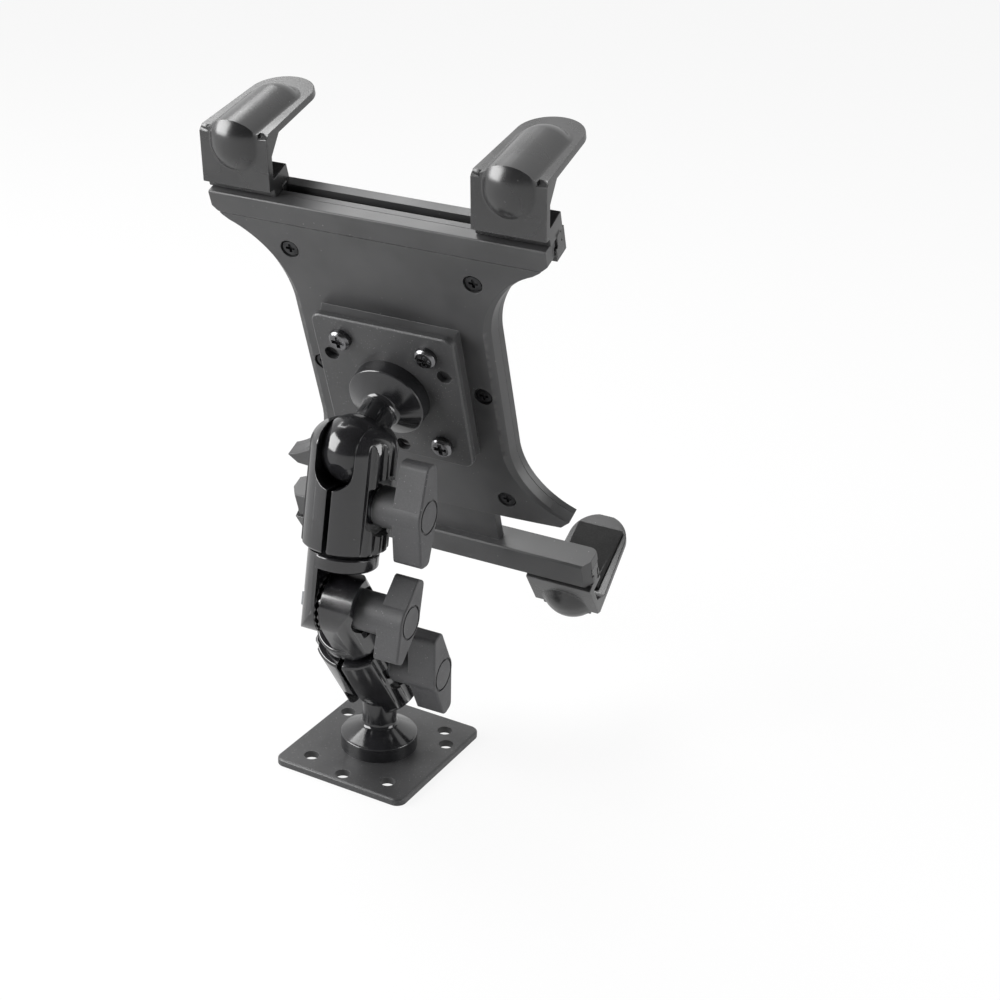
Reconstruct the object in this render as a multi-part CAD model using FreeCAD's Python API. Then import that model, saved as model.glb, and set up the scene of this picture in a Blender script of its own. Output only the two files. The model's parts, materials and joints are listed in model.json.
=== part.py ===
import FreeCAD, Part
import math
import os

from FreeCAD import Placement, Rotation, Vector

# A tablet holder on a jointed arm with a small screw-down base plate.
# Millimetres. X runs across the tablet, Y from the arm towards the tablet, Z up.
# The origin is the centre of the base plate's underside.

# Plates (the base and the holder carry the same one)
PLATE_WIDTH = 50.0
PLATE_DEPTH = 54.2
PLATE_THICK = 2.5
PLATE_CORNER = 3.5
PLATE_EDGE = 0.5
SCREW_HOLE_R = 2.5
CORNER_HOLES_X = 30.16
CORNER_HOLES_Y = 38.04
RING_HOLES_PCD = 46.0
RING_HOLES = 3

# Ball piece (turned in one)
BALL_R = 11.0
BALL_HEIGHT = 27.0
STEM_R = 5.85
FLANGE_R = 13.15
FLANGE_RIM = 3.4
FLANGE_BREAK = 0.4
CONE_TOP = 10.7
BALL_FLAT_R = 3.0

# Screw from the plate's far side into the ball piece
BALL_SCREW_R = 3.0
BALL_SCREW_HEAD_R = 5.6
BALL_SCREW_LENGTH = 14.0
THREAD_GAP = 0.05
HEX_SOCKET_AF = 4.0
HEX_SOCKET_DEPTH = 2.0

# Arm (both halves of the arm are alike); S is the distance from the elbow along the arm
ARM_LENGTH = 50.8
SOCKET_R = 13.7
SOCKET_FOOT = 19.7
SOCKET_TOP = 8.5
SOCKET_CROWN_R = 8.2
SOCKET_EDGE = 0.7
SLIT = 1.7
BALL_GAP = 0.1
STEM_SLOT = 13.3
STEM_SLOT_DEPTH = 10.5
FLUTE_R = 1.7
FLUTE_DEPTH = 0.95
FLUTE_STEP = 18.0
FLUTES = 5
SEAT_X = 10.4
KNOB_SEAT_R = 9.5
HEAD_SEAT_R = 6.6
BOLT_FROM_BALL = 15.8

# Knuckles between the arm halves and the elbow
COLLAR_R = 11.3
COLLAR_FOOT = 13.3
COLLAR_TOP = 18.2
COLLAR_EDGE = 0.6
NECK_R = 7.2
HEAD_R = 8.7
HEAD_FOOT = 22.2
HEAD_TOP = 26.0
SPIGOT_GAP = 0.12
ELBOW_R = 10.5
SPLIT_X = -2.3
TEETH = 24
TOOTH_HEIGHT = 0.7
TOOTH_EDGE = 0.1
TOOTH_SINK = 0.5
TOOTH_RING_R = 5.6
TEETH_GAP = 0.3
DOME_FACE_X = 9.5
DOME_FACE_TOP = 8.4
DOME_RECESS_R = 7.6
DOME_RECESS_DEPTH = 3.0
LEG_POCKET_DEPTH = 3.0

# Clamp bolts, washers and knobs
BOLT_R = 2.5
BOLT_GAP = 0.06
BOLT_HEAD_AF = 8.0
BOLT_HEAD_HEIGHT = 3.0
WASHER_R = 5.6
WASHER_THICK = 1.0
SEAT_GAP = 0.05
KNOB_HUB_R = 6.5
KNOB_END_X = 28.0
KNOB_WING_X = 18.3
KNOB_SPAN = 33.6
KNOB_TIP = 5.4
ELBOW_KNOB_END_X = 25.8
ELBOW_KNOB_WING_X = 17.3
ELBOW_KNOB_SPAN = 27.4
ELBOW_KNOB_TIP = 4.2
KNOB_EDGE = 0.7
KNOB_SINK = 0.15
KNOB_RING_R = 4.9
KNOB_RING_WIDTH = 0.8
KNOB_RING_DEPTH = 0.6
INSERT_AF = 8.0
INSERT_LENGTH = 9.0
INSERT_INSET = 0.4
INSERT_RELIEF = 1.0

# Pose of the arm, in degrees: turn of the arm on the base, leans from upright, tilt of the holder
ARM_YAW = 3.4
ARM_ROLL = 0.83
LOWER_LEAN = 36.3
UPPER_LEAN = -8.5
HOLDER_RECLINE = 22.8
LOWER_KNOB_TURN = -19.4
UPPER_KNOB_TURN = 4.3
ELBOW_KNOB_TURN = -20.8

# Holder body; its own frame has the plate's centre line as Z, Y up the tablet, z = 0 on the tablet
BODY_DEPTH = 13.5
COVER_DEPTH = 4.5
PAD_TOP = 17.5
PAD_WIDTH = 46.0
PAD_HEIGHT = 50.0
PAD_DRAFT = 1.5
BAR_HALF = 57.0
BAR_TOP = 63.5
BAR_LOW = 55.0
BAR_CORNER = 3.0
SHOULDER_IN = 5.2
SHOULDER_DROP = 1.6
SHOULDER_BEND = (0.38, 0.66)
WAIST_HALF = 32.2
ARMPIT_Y = 26.0
HIP_Y = -22.0
HORN_BEND = (0.24, 0.58)
HORN_HALF = 53.4
HORN_CORNER = (3.3, 3.3)
BODY_LOW = -52.8
FOOT_BOW = 2.0
BEVEL_OUT = 2.4
BEVEL_DROP = 1.2
WALL_STEP = 3.8
WING_FRONT = 6.8
KEEL_HALF = 29.0
BODY_EDGE = 0.4
SEAM_Y = 55.7
SEAM_WIDTH = 0.4
SEAM_DEPTH = 0.3
HEAD_SPACE_DEPTH = 2.0

# Screws that join the two shells, each in a well, at the top, the waist and the foot
COVER_SCREW_R = 1.5
COVER_SCREW_HEAD_R = 2.6
COVER_SCREW_HEAD = 1.2
COVER_SCREW_WELL_R = 3.2
COVER_SCREW_WELL = 1.6
COVER_SCREW_LENGTH = 4.9
COVER_SCREW_TOP = (31.5, 46.0)
COVER_SCREW_MID = (28.8, 0.0)
COVER_SCREW_LOW = (31.5, -45.5)

# Screws that hold the second plate on the pad
PLATE_SCREW_R = 2.1
PLATE_SCREW_HEAD_R = 3.7
PLATE_SCREW_HEAD = 2.4
PLATE_SCREW_LENGTH = 8.4
CROSS_PART = 0.6
CROSS_BAR = 0.3

# Rail for the claws, the same section on the body's top and on the slider's underside
RAIL_THICK = 3.0
RAIL_THROAT = 2.8
RAIL_HEAD = 5.0
RAIL_HEAD_DEPTH = 3.4
RAIL_GAP = 0.25
RAIL_ROOF = 1.05
SLIDER_RAIL_Z = 3.8

# Sliding lower bar; it sits a little to the left in its side play, as the springs pull it
SLIDER_SHIFT = -2.3
TONGUE_HALF = 24.1
TONGUE_FRONT = 3.0
TONGUE_BACK = 6.8
TONGUE_TOP = 22.0
TONGUE_GAP = 0.3
TONGUE_PLAY = 2.6
CHANNEL_TOP = 46.0
SLIDER_TOP = -74.8
SLIDER_LOW = -85.5
SLIDER_BACK = 9.8
SLIDER_HALF = 58.3
SLIDER_END = (2.3, 3.6)
SLIDER_FRONT_END = (1.8, 1.2)
SLIDER_EDGE = 0.6

# Claws; the lower pair stands on the slider
CLAW_WIDTH = 24.0
CLAW_TOP_INSET = 11.3
CLAW_LOW_INSET = 12.1
CLAW_TOP_RISE = 3.6
CLAW_LOW_DROP = 1.1
CLAW_LOW_PROUD = 0.1
CLAW_HEIGHT = 17.4
CLAW_LEAN = 4.8
CLAW_WALL = 2.6
CLAW_FOLD_BREAK = 0.8
CLAW_TONGUE = 2.4
CLAW_GUSSET = 5.0
CLAW_ROOT_HEIGHT = 3.4
CLAW_ROOT_FRONT = 3.7
CLAW_REACH = 39.5
CLAW_SLOPE = 8.5
CLAW_TIP_R = 10.6
CLAW_RIB_SKIN = 1.0
WALL_RIB_R = 27.0
WALL_RIB_RISE = 1.2
WALL_RIB_END = 4.5
TONGUE_RIB_R = 10.0
TONGUE_RIB_RISE = 3.8
TONGUE_RIB_END = 24.0
GRIP_THICK = 1.2
GRIP_WIDTH = 17.0
GRIP_ENDS = (9.0, 34.0)

# Longer than anything it cuts
FAR = 100.0

X_AXIS = Vector(1, 0, 0)
Y_AXIS = Vector(0, 1, 0)
Z_AXIS = Vector(0, 0, 1)
ORIGIN = Vector(0, 0, 0)


# Shape helpers

def cylinder(radius, start, end, axis=Z_AXIS, at=ORIGIN):
    """A cylinder between two distances along an axis through a point."""
    base = at + Vector(axis) * start
    return Part.makeCylinder(radius, end - start, base, axis)


def block(low, high):
    """A box between two corners."""
    size = [b - a for a, b in zip(low, high)]
    return Part.makeBox(*size, Vector(*low))


def turned(profile):
    """A solid turned about Z from a closed outline of (radius, height) points."""
    wire = Part.makePolygon([Vector(r, 0, z) for r, z in profile + profile[:1]])
    return Part.Face(wire).revolve(ORIGIN, Z_AXIS, 360)


def side_prism(outline, low, high):
    """An outline of (y, z) points carried along X."""
    wire = Part.makePolygon([Vector(low, y, z) for y, z in outline + outline[:1]])
    return Part.Face(wire).extrude(Vector(high - low, 0, 0))


def hexagon(across, start, end, axis, at=ORIGIN):
    """A six-sided prism along an axis."""
    corner = across / math.sqrt(3)
    turns = [math.radians(60 * k) for k in range(6)]
    points = [Vector(corner * math.cos(turn), corner * math.sin(turn), start) for turn in turns]
    solid = Part.Face(Part.makePolygon(points + points[:1])).extrude(Vector(0, 0, end - start))
    solid.Placement = Placement(at, Rotation(Z_AXIS, Vector(axis)))
    return solid


def merged(shapes):
    """One solid out of several that overlap or touch."""
    first, *rest = shapes
    return first.fuse(rest).removeSplitter()


def edges_at(shape, test):
    """The edges whose middle passes a test."""
    return [e for e in shape.Edges if test(e.CenterOfMass)]


def mirror_x(shape):
    """The shape's mirror image across X."""
    return shape.mirror(ORIGIN, X_AXIS)


def moved(shape, placement):
    """The shape, carried into another frame."""
    result = shape.copy()
    result.Placement = placement.multiply(result.Placement)
    return result


# Frames of the posed parts

def base_ball_frame():
    """Arm frame at the lower ball: X across, Y back, Z up, turned and rolled as the arm stands."""
    turn = Rotation(Z_AXIS, ARM_YAW).multiply(Rotation(Y_AXIS, ARM_ROLL))
    return Placement(Vector(0, 0, PLATE_THICK + BALL_HEIGHT), turn)


def elbow_point():
    """The elbow's pivot in the arm frame."""
    lean = math.radians(LOWER_LEAN)
    return Vector(0, -ARM_LENGTH * math.sin(lean), ARM_LENGTH * math.cos(lean))


def lower_arm_frame():
    """Lower arm: origin at the elbow, Z towards the lower ball."""
    local = Placement(elbow_point(), Rotation(X_AXIS, LOWER_LEAN - 180))
    return base_ball_frame().multiply(local)


def upper_arm_frame():
    """Upper arm: origin at the elbow, Z towards the upper ball."""
    local = Placement(elbow_point(), Rotation(X_AXIS, UPPER_LEAN))
    return base_ball_frame().multiply(local)


def holder_frame():
    """Holder: origin below the upper ball, on the tablet's back; Y up the tablet, Z towards the arm."""
    ball = upper_arm_frame().multVec(Vector(0, 0, ARM_LENGTH))
    turn = base_ball_frame().Rotation.multiply(Rotation(X_AXIS, 90 + HOLDER_RECLINE))
    drop = turn.multVec(Vector(0, 0, PAD_TOP + PLATE_THICK + BALL_HEIGHT))
    return Placement(ball - drop, turn)


# Plate and ball piece

def corner_hole_places():
    """Centres of a plate's four corner holes."""
    half_x = CORNER_HOLES_X / 2
    half_y = CORNER_HOLES_Y / 2
    return [Vector(sx * half_x, sy * half_y, 0) for sx in (-1, 1) for sy in (-1, 1)]


def plate():
    """Plate with four corner holes, three holes on a ring and a countersunk centre hole."""
    half_x = PLATE_WIDTH / 2
    half_y = PLATE_DEPTH / 2
    body = block((-half_x, -half_y, 0), (half_x, half_y, PLATE_THICK))
    corners = [e for e in body.Edges if abs(e.CenterOfMass.z - PLATE_THICK / 2) < 0.01]
    body = body.makeFillet(PLATE_CORNER, corners)
    rim = edges_at(body, lambda c: abs(c.z - PLATE_THICK) < 0.01)
    body = body.makeChamfer(PLATE_EDGE, rim)
    places = corner_hole_places()
    ring = RING_HOLES_PCD / 2
    for k in range(RING_HOLES):
        angle = math.radians(90 + 360 / RING_HOLES * (k + 0.5))
        places.append(Vector(ring * math.cos(angle), ring * math.sin(angle), 0))
    for at in places:
        body = body.cut(cylinder(SCREW_HOLE_R, 0, PLATE_THICK, at=at))
    return body.cut(ball_screw_space())


def ball_screw_space():
    """Countersunk clearance for the centre screw, from the plate's underside."""
    rise = BALL_SCREW_HEAD_R - BALL_SCREW_R
    wide = BALL_SCREW_HEAD_R + THREAD_GAP
    sink = Part.makeCone(wide, BALL_SCREW_R + THREAD_GAP, min(rise, PLATE_THICK))
    return sink.fuse(cylinder(BALL_SCREW_R + THREAD_GAP, 0, BALL_SCREW_LENGTH + THREAD_GAP))


def ball_screw():
    """Countersunk screw with a hexagon socket, head flush with the plate's underside."""
    rise = BALL_SCREW_HEAD_R - BALL_SCREW_R
    head = Part.makeCone(BALL_SCREW_HEAD_R, BALL_SCREW_R, min(rise, PLATE_THICK))
    shank = cylinder(BALL_SCREW_R, 0, BALL_SCREW_LENGTH)
    return merged([head, shank]).cut(hexagon(HEX_SOCKET_AF, 0, HEX_SOCKET_DEPTH, Z_AXIS))


def ball_piece():
    """Flange, cone, stem and ball turned in one, standing on the plate's top face."""
    foot = PLATE_THICK
    centre = PLATE_THICK + BALL_HEIGHT
    flange = turned([
        (0, foot), (FLANGE_R, foot), (FLANGE_R, foot + FLANGE_RIM - FLANGE_BREAK),
        (FLANGE_R - FLANGE_BREAK, foot + FLANGE_RIM), (STEM_R, foot + CONE_TOP),
        (STEM_R, centre), (0, centre)])
    ball = Part.makeSphere(BALL_R, Vector(0, 0, centre))
    top = math.sqrt(BALL_R ** 2 - BALL_FLAT_R ** 2)
    ball = ball.cut(block((-BALL_R, -BALL_R, centre + top), (BALL_R, BALL_R, centre + BALL_R)))
    return merged([flange, ball]).cut(ball_screw_space())


# Arm halves

def bolt_height():
    """Distance of the clamp bolt from the elbow."""
    return ARM_LENGTH - BOLT_FROM_BALL


def socket_barrel():
    """Outside of both shells together: a barrel with a rounded crown round the ball."""
    crown = ARM_LENGTH + SOCKET_TOP
    shoulder = Vector(SOCKET_R, 0, ARM_LENGTH)
    top = Vector(SOCKET_CROWN_R, 0, crown)
    middle = Vector(SOCKET_R - 0.25 * (SOCKET_R - SOCKET_CROWN_R), 0, ARM_LENGTH + 0.64 * SOCKET_TOP)
    foot = Vector(SOCKET_R, 0, SOCKET_FOOT + SOCKET_EDGE)
    heel = Vector(SOCKET_R - SOCKET_EDGE, 0, SOCKET_FOOT)
    low = Vector(0, 0, SOCKET_FOOT)
    high = Vector(0, 0, crown)
    edges = [Part.makeLine(low, heel), Part.makeLine(heel, foot), Part.makeLine(foot, shoulder),
             Part.Arc(shoulder, middle, top).toShape(), Part.makeLine(top, high),
             Part.makeLine(high, low)]
    return Part.Face(Part.Wire(edges)).revolve(ORIGIN, Z_AXIS, 360)


def socket_inside():
    """All that is hollow in the pair of shells: ball seat, stem slot, spigot seat and bolt hole."""
    seat = Part.makeSphere(BALL_R + BALL_GAP, Vector(0, 0, ARM_LENGTH))
    half = STEM_SLOT / 2
    slot_foot = ARM_LENGTH - STEM_SLOT_DEPTH
    reach = 2 * SOCKET_R
    slot = block((-half, -reach, slot_foot + half), (half, reach, ARM_LENGTH + 2 * SOCKET_TOP))
    bottom = cylinder(half, -reach, reach, Y_AXIS, Vector(0, 0, slot_foot + half))
    head = cylinder(HEAD_R + SPIGOT_GAP, HEAD_FOOT - SPIGOT_GAP, HEAD_TOP + SPIGOT_GAP)
    neck = cylinder(NECK_R + SPIGOT_GAP, SOCKET_FOOT, HEAD_FOOT)
    bolt = cylinder(BOLT_R + BOLT_GAP, -reach, reach, X_AXIS, Vector(0, 0, bolt_height()))
    return [seat, slot, bottom, head, neck, bolt]


def flutes():
    """Grooves along the outside of the shell on the +X side."""
    distance = SOCKET_R + FLUTE_R - FLUTE_DEPTH
    first = -FLUTE_STEP * (FLUTES - 1) / 2
    tools = []
    for k in range(FLUTES):
        angle = math.radians(first + k * FLUTE_STEP)
        at = Vector(distance * math.cos(angle), distance * math.sin(angle), 0)
        tools.append(cylinder(FLUTE_R, SOCKET_FOOT, ARM_LENGTH + SOCKET_TOP, at=at))
    return tools


def socket_shell(seat_r):
    """The shell on the +X side, with a flat round seat for the knob or the bolt's head."""
    gap = SLIT / 2
    side = block((gap, -2 * SOCKET_R, 0), (2 * SOCKET_R, 2 * SOCKET_R, 2 * ARM_LENGTH))
    shell = socket_barrel().common(side)
    seat = cylinder(seat_r, SEAT_X, 2 * SOCKET_R, X_AXIS, Vector(0, 0, bolt_height()))
    return shell.cut(socket_inside() + flutes() + [seat])


def toothed_face(x, outward):
    """A ring of radial teeth on the elbow's axis, crests at x, roots on the side given by outward."""
    root = x - outward * TOOTH_HEIGHT
    outer = ELBOW_R - TOOTH_EDGE
    step = 2 * math.pi / TEETH
    teeth = []
    for k in range(TEETH):
        crest = k * step
        corners = []
        for radius in (TOOTH_RING_R, outer):
            height = root + outward * TOOTH_HEIGHT
            corners.append([
                Vector(root, radius * math.cos(crest - step / 2), radius * math.sin(crest - step / 2)),
                Vector(height, radius * math.cos(crest), radius * math.sin(crest)),
                Vector(root, radius * math.cos(crest + step / 2), radius * math.sin(crest + step / 2))])
        wires = [Part.makePolygon(c + c[:1]) for c in corners]
        teeth.append(Part.makeLoft(wires, True, True))
    sunk = Vector(min(root, root - outward * TOOTH_SINK), 0, 0)
    ring = cylinder(outer * math.cos(step / 2), 0, TOOTH_SINK, X_AXIS, sunk)
    return ring.fuse(teeth).removeSplitter()


def knuckle(side):
    """Collar, spigot and elbow half; side is +1 for the half on +X and -1 for the other."""
    crest = SPLIT_X + side * TEETH_GAP / 2
    root = crest + side * TOOTH_HEIGHT
    far = side * 2 * COLLAR_R
    column = cylinder(COLLAR_R, 0, COLLAR_TOP)
    rounded = cylinder(COLLAR_R, -ELBOW_R, 0).common(
        cylinder(ELBOW_R, -2 * COLLAR_R, 2 * COLLAR_R, X_AXIS))
    column = column.common(cylinder(ELBOW_R, -2 * COLLAR_R, 2 * COLLAR_R, X_AXIS).fuse(
        block((-2 * COLLAR_R, -ELBOW_R, 0), (2 * COLLAR_R, ELBOW_R, COLLAR_TOP))))
    low = (min(root, far), -2 * COLLAR_R, -2 * ELBOW_R)
    half = block(low, (max(root, far), 2 * COLLAR_R, COLLAR_TOP))
    elbow = column.fuse(rounded).common(half)
    ring = turned([
        (0, COLLAR_FOOT), (COLLAR_R - COLLAR_EDGE, COLLAR_FOOT), (COLLAR_R, COLLAR_FOOT + COLLAR_EDGE),
        (COLLAR_R, COLLAR_TOP - COLLAR_EDGE), (COLLAR_R - COLLAR_EDGE, COLLAR_TOP), (NECK_R, COLLAR_TOP),
        (NECK_R, HEAD_FOOT), (HEAD_R, HEAD_FOOT), (HEAD_R, HEAD_TOP - COLLAR_EDGE),
        (HEAD_R - COLLAR_EDGE, HEAD_TOP), (0, HEAD_TOP)])
    teeth = toothed_face(crest, -side)
    solid = merged([elbow, ring, teeth])
    return solid.cut(cylinder(BOLT_R + BOLT_GAP, -2 * COLLAR_R, 2 * COLLAR_R, X_AXIS))


def lower_knuckle():
    """The knuckle on the knob's side: flat outer face with a round recess for the knob's hub."""
    solid = knuckle(1)
    low = (DOME_FACE_X, -2 * COLLAR_R, -2 * ELBOW_R)
    outside = block(low, (2 * COLLAR_R, 2 * COLLAR_R, DOME_FACE_TOP))
    recess = cylinder(DOME_RECESS_R, DOME_FACE_X - DOME_RECESS_DEPTH, 2 * COLLAR_R, X_AXIS)
    return solid.cut([outside, recess])


def upper_knuckle():
    """The knuckle on the bolt head's side, with a six-sided pocket that stops the bolt turning."""
    floor = Vector(leg_pocket_x(), 0, 0)
    pocket = hexagon(BOLT_HEAD_AF + 2 * THREAD_GAP, 0, 2 * COLLAR_R, -X_AXIS, floor)
    return knuckle(-1).cut(pocket)


def leg_pocket_x():
    """Floor of the bolt head's pocket in the leg."""
    return -COLLAR_R + LEG_POCKET_DEPTH


# Bolts and knobs; their axis is X, and they are made about the elbow's axis

def bolt(head_x, end_x):
    """Hexagon bolt along X: head outside head_x, shank to end_x."""
    head = hexagon(BOLT_HEAD_AF, 0, BOLT_HEAD_HEIGHT, -X_AXIS, Vector(head_x, 0, 0))
    return merged([head, cylinder(BOLT_R, head_x, end_x, X_AXIS)])


def washer(x):
    """Flat washer lying on a seat at x."""
    ring = cylinder(WASHER_R, x, x + WASHER_THICK, X_AXIS)
    return ring.cut(cylinder(BOLT_R + 2 * BOLT_GAP, x, x + WASHER_THICK, X_AXIS))


def insert(start):
    """Six-sided threaded insert inside a knob's hub."""
    body = hexagon(INSERT_AF, 0, INSERT_LENGTH, X_AXIS, Vector(start, 0, 0))
    return body.cut(cylinder(BOLT_R + THREAD_GAP, start, start + INSERT_LENGTH, X_AXIS))


def wing_outline(span, tip):
    """Outline of both wings as (y, z) points: narrow tips with sides that run on to the round hub."""
    reach = span / 2
    radius = KNOB_HUB_R - KNOB_SINK
    turn = math.atan2(reach, tip / 2) - math.acos(radius / math.hypot(reach, tip / 2))
    touch = (radius * math.cos(turn), radius * math.sin(turn))
    side = [(tip / 2, -reach), (touch[0], -touch[1]), touch, (tip / 2, reach)]
    return side + [(-y, z) for y, z in reversed(side)]


def rounded_end(shape, end_x):
    """The shape with a fillet round its face at end_x."""
    return shape.makeFillet(KNOB_EDGE, edges_at(shape, lambda c: abs(c.x - end_x) < 0.01))


def knob(start, wing_x, end_x, span, tip):
    """T-shaped knob: round hub, two tapered wings, and a plain ring groove on its end."""
    reach = span / 2
    wings = side_prism(wing_outline(span, tip), wing_x, end_x)
    middle = (wing_x + end_x) / 2
    tips = edges_at(wings, lambda c: abs(abs(c.z) - reach) < 0.01 and abs(c.x - middle) < 0.01)
    wings = wings.makeFillet(tip * 0.42, tips)
    hub = cylinder(KNOB_HUB_R, start, end_x, X_AXIS)
    body = merged([rounded_end(shape, end_x) for shape in (hub, wings)])
    groove = cylinder(KNOB_RING_R + KNOB_RING_WIDTH, end_x - KNOB_RING_DEPTH, end_x, X_AXIS)
    groove = groove.cut(cylinder(KNOB_RING_R, end_x - KNOB_RING_DEPTH, end_x, X_AXIS))
    hollow = hexagon(INSERT_AF, 0, INSERT_LENGTH, X_AXIS, Vector(start + INSERT_INSET, 0, 0))
    mouth = cylinder(BOLT_R + 2 * BOLT_GAP, start, start + INSERT_LENGTH + INSERT_RELIEF, X_AXIS)
    return body.cut([groove, hollow, mouth])


def turned_knob(shape, angle):
    """A knob turned about its own axis."""
    return moved(shape, Placement(ORIGIN, Rotation(X_AXIS, angle)))


# Holder body

def between(start, end, part):
    """A point at a part of the way across and a part of the way along between two points."""
    return Vector(start.x + part[0] * (end.x - start.x), start.y + part[1] * (end.y - start.y), 0)


def body_outline(waist_extra):
    """Half outline of the holder's body as edges, from the top's middle round to the foot's middle."""
    waist = WAIST_HALF + waist_extra
    shoulder = Vector(BAR_HALF - SHOULDER_IN, BAR_LOW - SHOULDER_DROP, 0)
    armpit = Vector(waist, ARMPIT_Y, 0)
    hip = Vector(waist, HIP_Y, 0)
    thigh = Vector(HORN_HALF, BODY_LOW + HORN_CORNER[1], 0)
    points = [Vector(0, BAR_TOP, 0), Vector(BAR_HALF, BAR_TOP, 0),
              Vector(BAR_HALF, BAR_LOW + BAR_CORNER, 0),
              Vector(BAR_HALF - BAR_CORNER, BAR_LOW, 0), shoulder]
    edges = [Part.makeLine(a, b) for a, b in zip(points, points[1:])]
    edges.append(Part.Arc(shoulder, between(armpit, shoulder, SHOULDER_BEND), armpit).toShape())
    edges.append(Part.makeLine(armpit, hip))
    edges.append(Part.Arc(hip, between(hip, thigh, HORN_BEND), thigh).toShape())
    toe = Vector(HORN_HALF - HORN_CORNER[0], BODY_LOW, 0)
    edges.append(Part.makeLine(thigh, toe))
    edges.append(foot_arc(toe))
    return edges


def foot_arc(toe):
    """The bowed lower edge from a horn's toe to the middle."""
    radius = (toe.x ** 2 + FOOT_BOW ** 2) / (2 * FOOT_BOW)
    bottom = Vector(0, toe.y - FOOT_BOW, 0)
    quarter = toe.x / 2
    middle = Vector(quarter, bottom.y + radius - math.sqrt(radius ** 2 - quarter ** 2), 0)
    return Part.Arc(toe, middle, bottom).toShape()


def body_section(z, waist_extra):
    """The body's whole outline at a depth, as a wire."""
    half = body_outline(waist_extra)
    other = [e.mirror(ORIGIN, X_AXIS) for e in half]
    wire = Part.Wire(Part.__sortEdges__(half + other))
    wire.translate(Vector(0, 0, z))
    return wire


def body_shell(levels):
    """The body between depths, given as (depth, how much wider the waist is there)."""
    return Part.makeLoft([body_section(z, extra) for z, extra in levels], True, True)


def parting():
    """Depth where the two shells meet, and how much wider the waist is there."""
    depth = BODY_DEPTH - COVER_DEPTH
    edge = BODY_DEPTH - BEVEL_DROP
    part = (edge - depth) / (edge - WING_FRONT)
    return depth, BEVEL_OUT + part * (WALL_STEP - BEVEL_OUT)


def rail_section(mouth_y, rail_z, gap):
    """T-shaped section of a rail whose mouth faces up at mouth_y, widened by a gap, as (y, z) points."""
    throat = RAIL_THROAT / 2 + gap
    head = RAIL_HEAD / 2 + gap
    lip = mouth_y - RAIL_THICK + gap
    floor = mouth_y - RAIL_THICK - RAIL_HEAD_DEPTH - gap
    half = [(mouth_y + FAR, throat), (lip, throat), (lip, head), (floor, head)]
    return [(y, rail_z + z) for y, z in half] + [(y, rail_z - z) for y, z in reversed(half)]


def body_rail_z():
    """Depth of the body's claw rail: its head stays a wall below where the shells meet."""
    return BODY_DEPTH - COVER_DEPTH - RAIL_ROOF - RAIL_GAP - RAIL_HEAD / 2


def tongue_channel():
    """Space in the body for the slider's tongue and its side play."""
    half = TONGUE_HALF + TONGUE_PLAY
    low = (-half, BODY_LOW - FAR, TONGUE_FRONT - TONGUE_GAP)
    return block(low, (half, CHANNEL_TOP, TONGUE_BACK + TONGUE_GAP))


def cover_screw_places():
    """Centres of the screws that join the shells."""
    places = (COVER_SCREW_TOP, COVER_SCREW_MID, COVER_SCREW_LOW)
    return [(side * x, y) for x, y in places for side in (-1, 1)]


def cover_screw(at, gap=0.0):
    """Pan-head screw from the back, or its space when a gap is given."""
    face = BODY_DEPTH - COVER_SCREW_WELL
    shank = cylinder(COVER_SCREW_R + gap, face - COVER_SCREW_LENGTH - gap, face, at=at)
    if gap:
        return shank.fuse(cylinder(COVER_SCREW_WELL_R, face, FAR, at=at))
    head = cylinder(COVER_SCREW_HEAD_R, face, face + COVER_SCREW_HEAD, at=at)
    slot = cross_recess(at + Vector(0, 0, face + COVER_SCREW_HEAD), COVER_SCREW_HEAD_R * CROSS_PART)
    return merged([shank, head]).cut(slot)


def cross_recess(at, size):
    """Cross-shaped driver recess, cut down from a point."""
    width = size * CROSS_BAR
    depth = size * CROSS_PART
    across = block((-size, -width, -depth), (size, width, depth))
    along = block((-width, -size, -depth), (width, size, depth))
    shape = across.fuse(along)
    shape.translate(at)
    return shape


def plate_screw(at, gap=0.0):
    """Pan-head cross screw standing on the adapter plate, or its space when a gap is given."""
    face = PAD_TOP + PLATE_THICK
    shank = cylinder(PLATE_SCREW_R + gap, face - PLATE_SCREW_LENGTH - gap, face, at=at)
    if gap:
        return shank
    head = cylinder(PLATE_SCREW_HEAD_R, face, face + PLATE_SCREW_HEAD, at=at)
    rim = edges_at(head, lambda c: abs(c.z - face - PLATE_SCREW_HEAD) < 0.01)
    head = head.makeChamfer(PLATE_SCREW_HEAD / 3, rim)
    slot = cross_recess(at + Vector(0, 0, face + PLATE_SCREW_HEAD), PLATE_SCREW_HEAD_R * CROSS_PART)
    return merged([shank, head]).cut(slot)


def body_spaces():
    """All that is cut out of both shells: screws, claw rail and tongue channel."""
    spaces = [cover_screw(Vector(x, y, 0), THREAD_GAP) for x, y in cover_screw_places()]
    spaces += [plate_screw(at, THREAD_GAP) for at in corner_hole_places()]
    spaces.append(cylinder(BALL_SCREW_HEAD_R + 1, PAD_TOP - HEAD_SPACE_DEPTH, FAR))
    spaces.append(side_prism(rail_section(BAR_TOP, body_rail_z(), RAIL_GAP), -FAR, FAR))
    spaces.append(tongue_channel())
    return spaces


def pad_rim(grow, z):
    """Rectangle of the raised pad at a depth."""
    x = PAD_WIDTH / 2 + grow
    y = PAD_HEIGHT / 2 + grow
    corners = ((-x, -y), (x, -y), (x, y), (-x, y), (-x, -y))
    return Part.makePolygon([Vector(*corner, z) for corner in corners])


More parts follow.
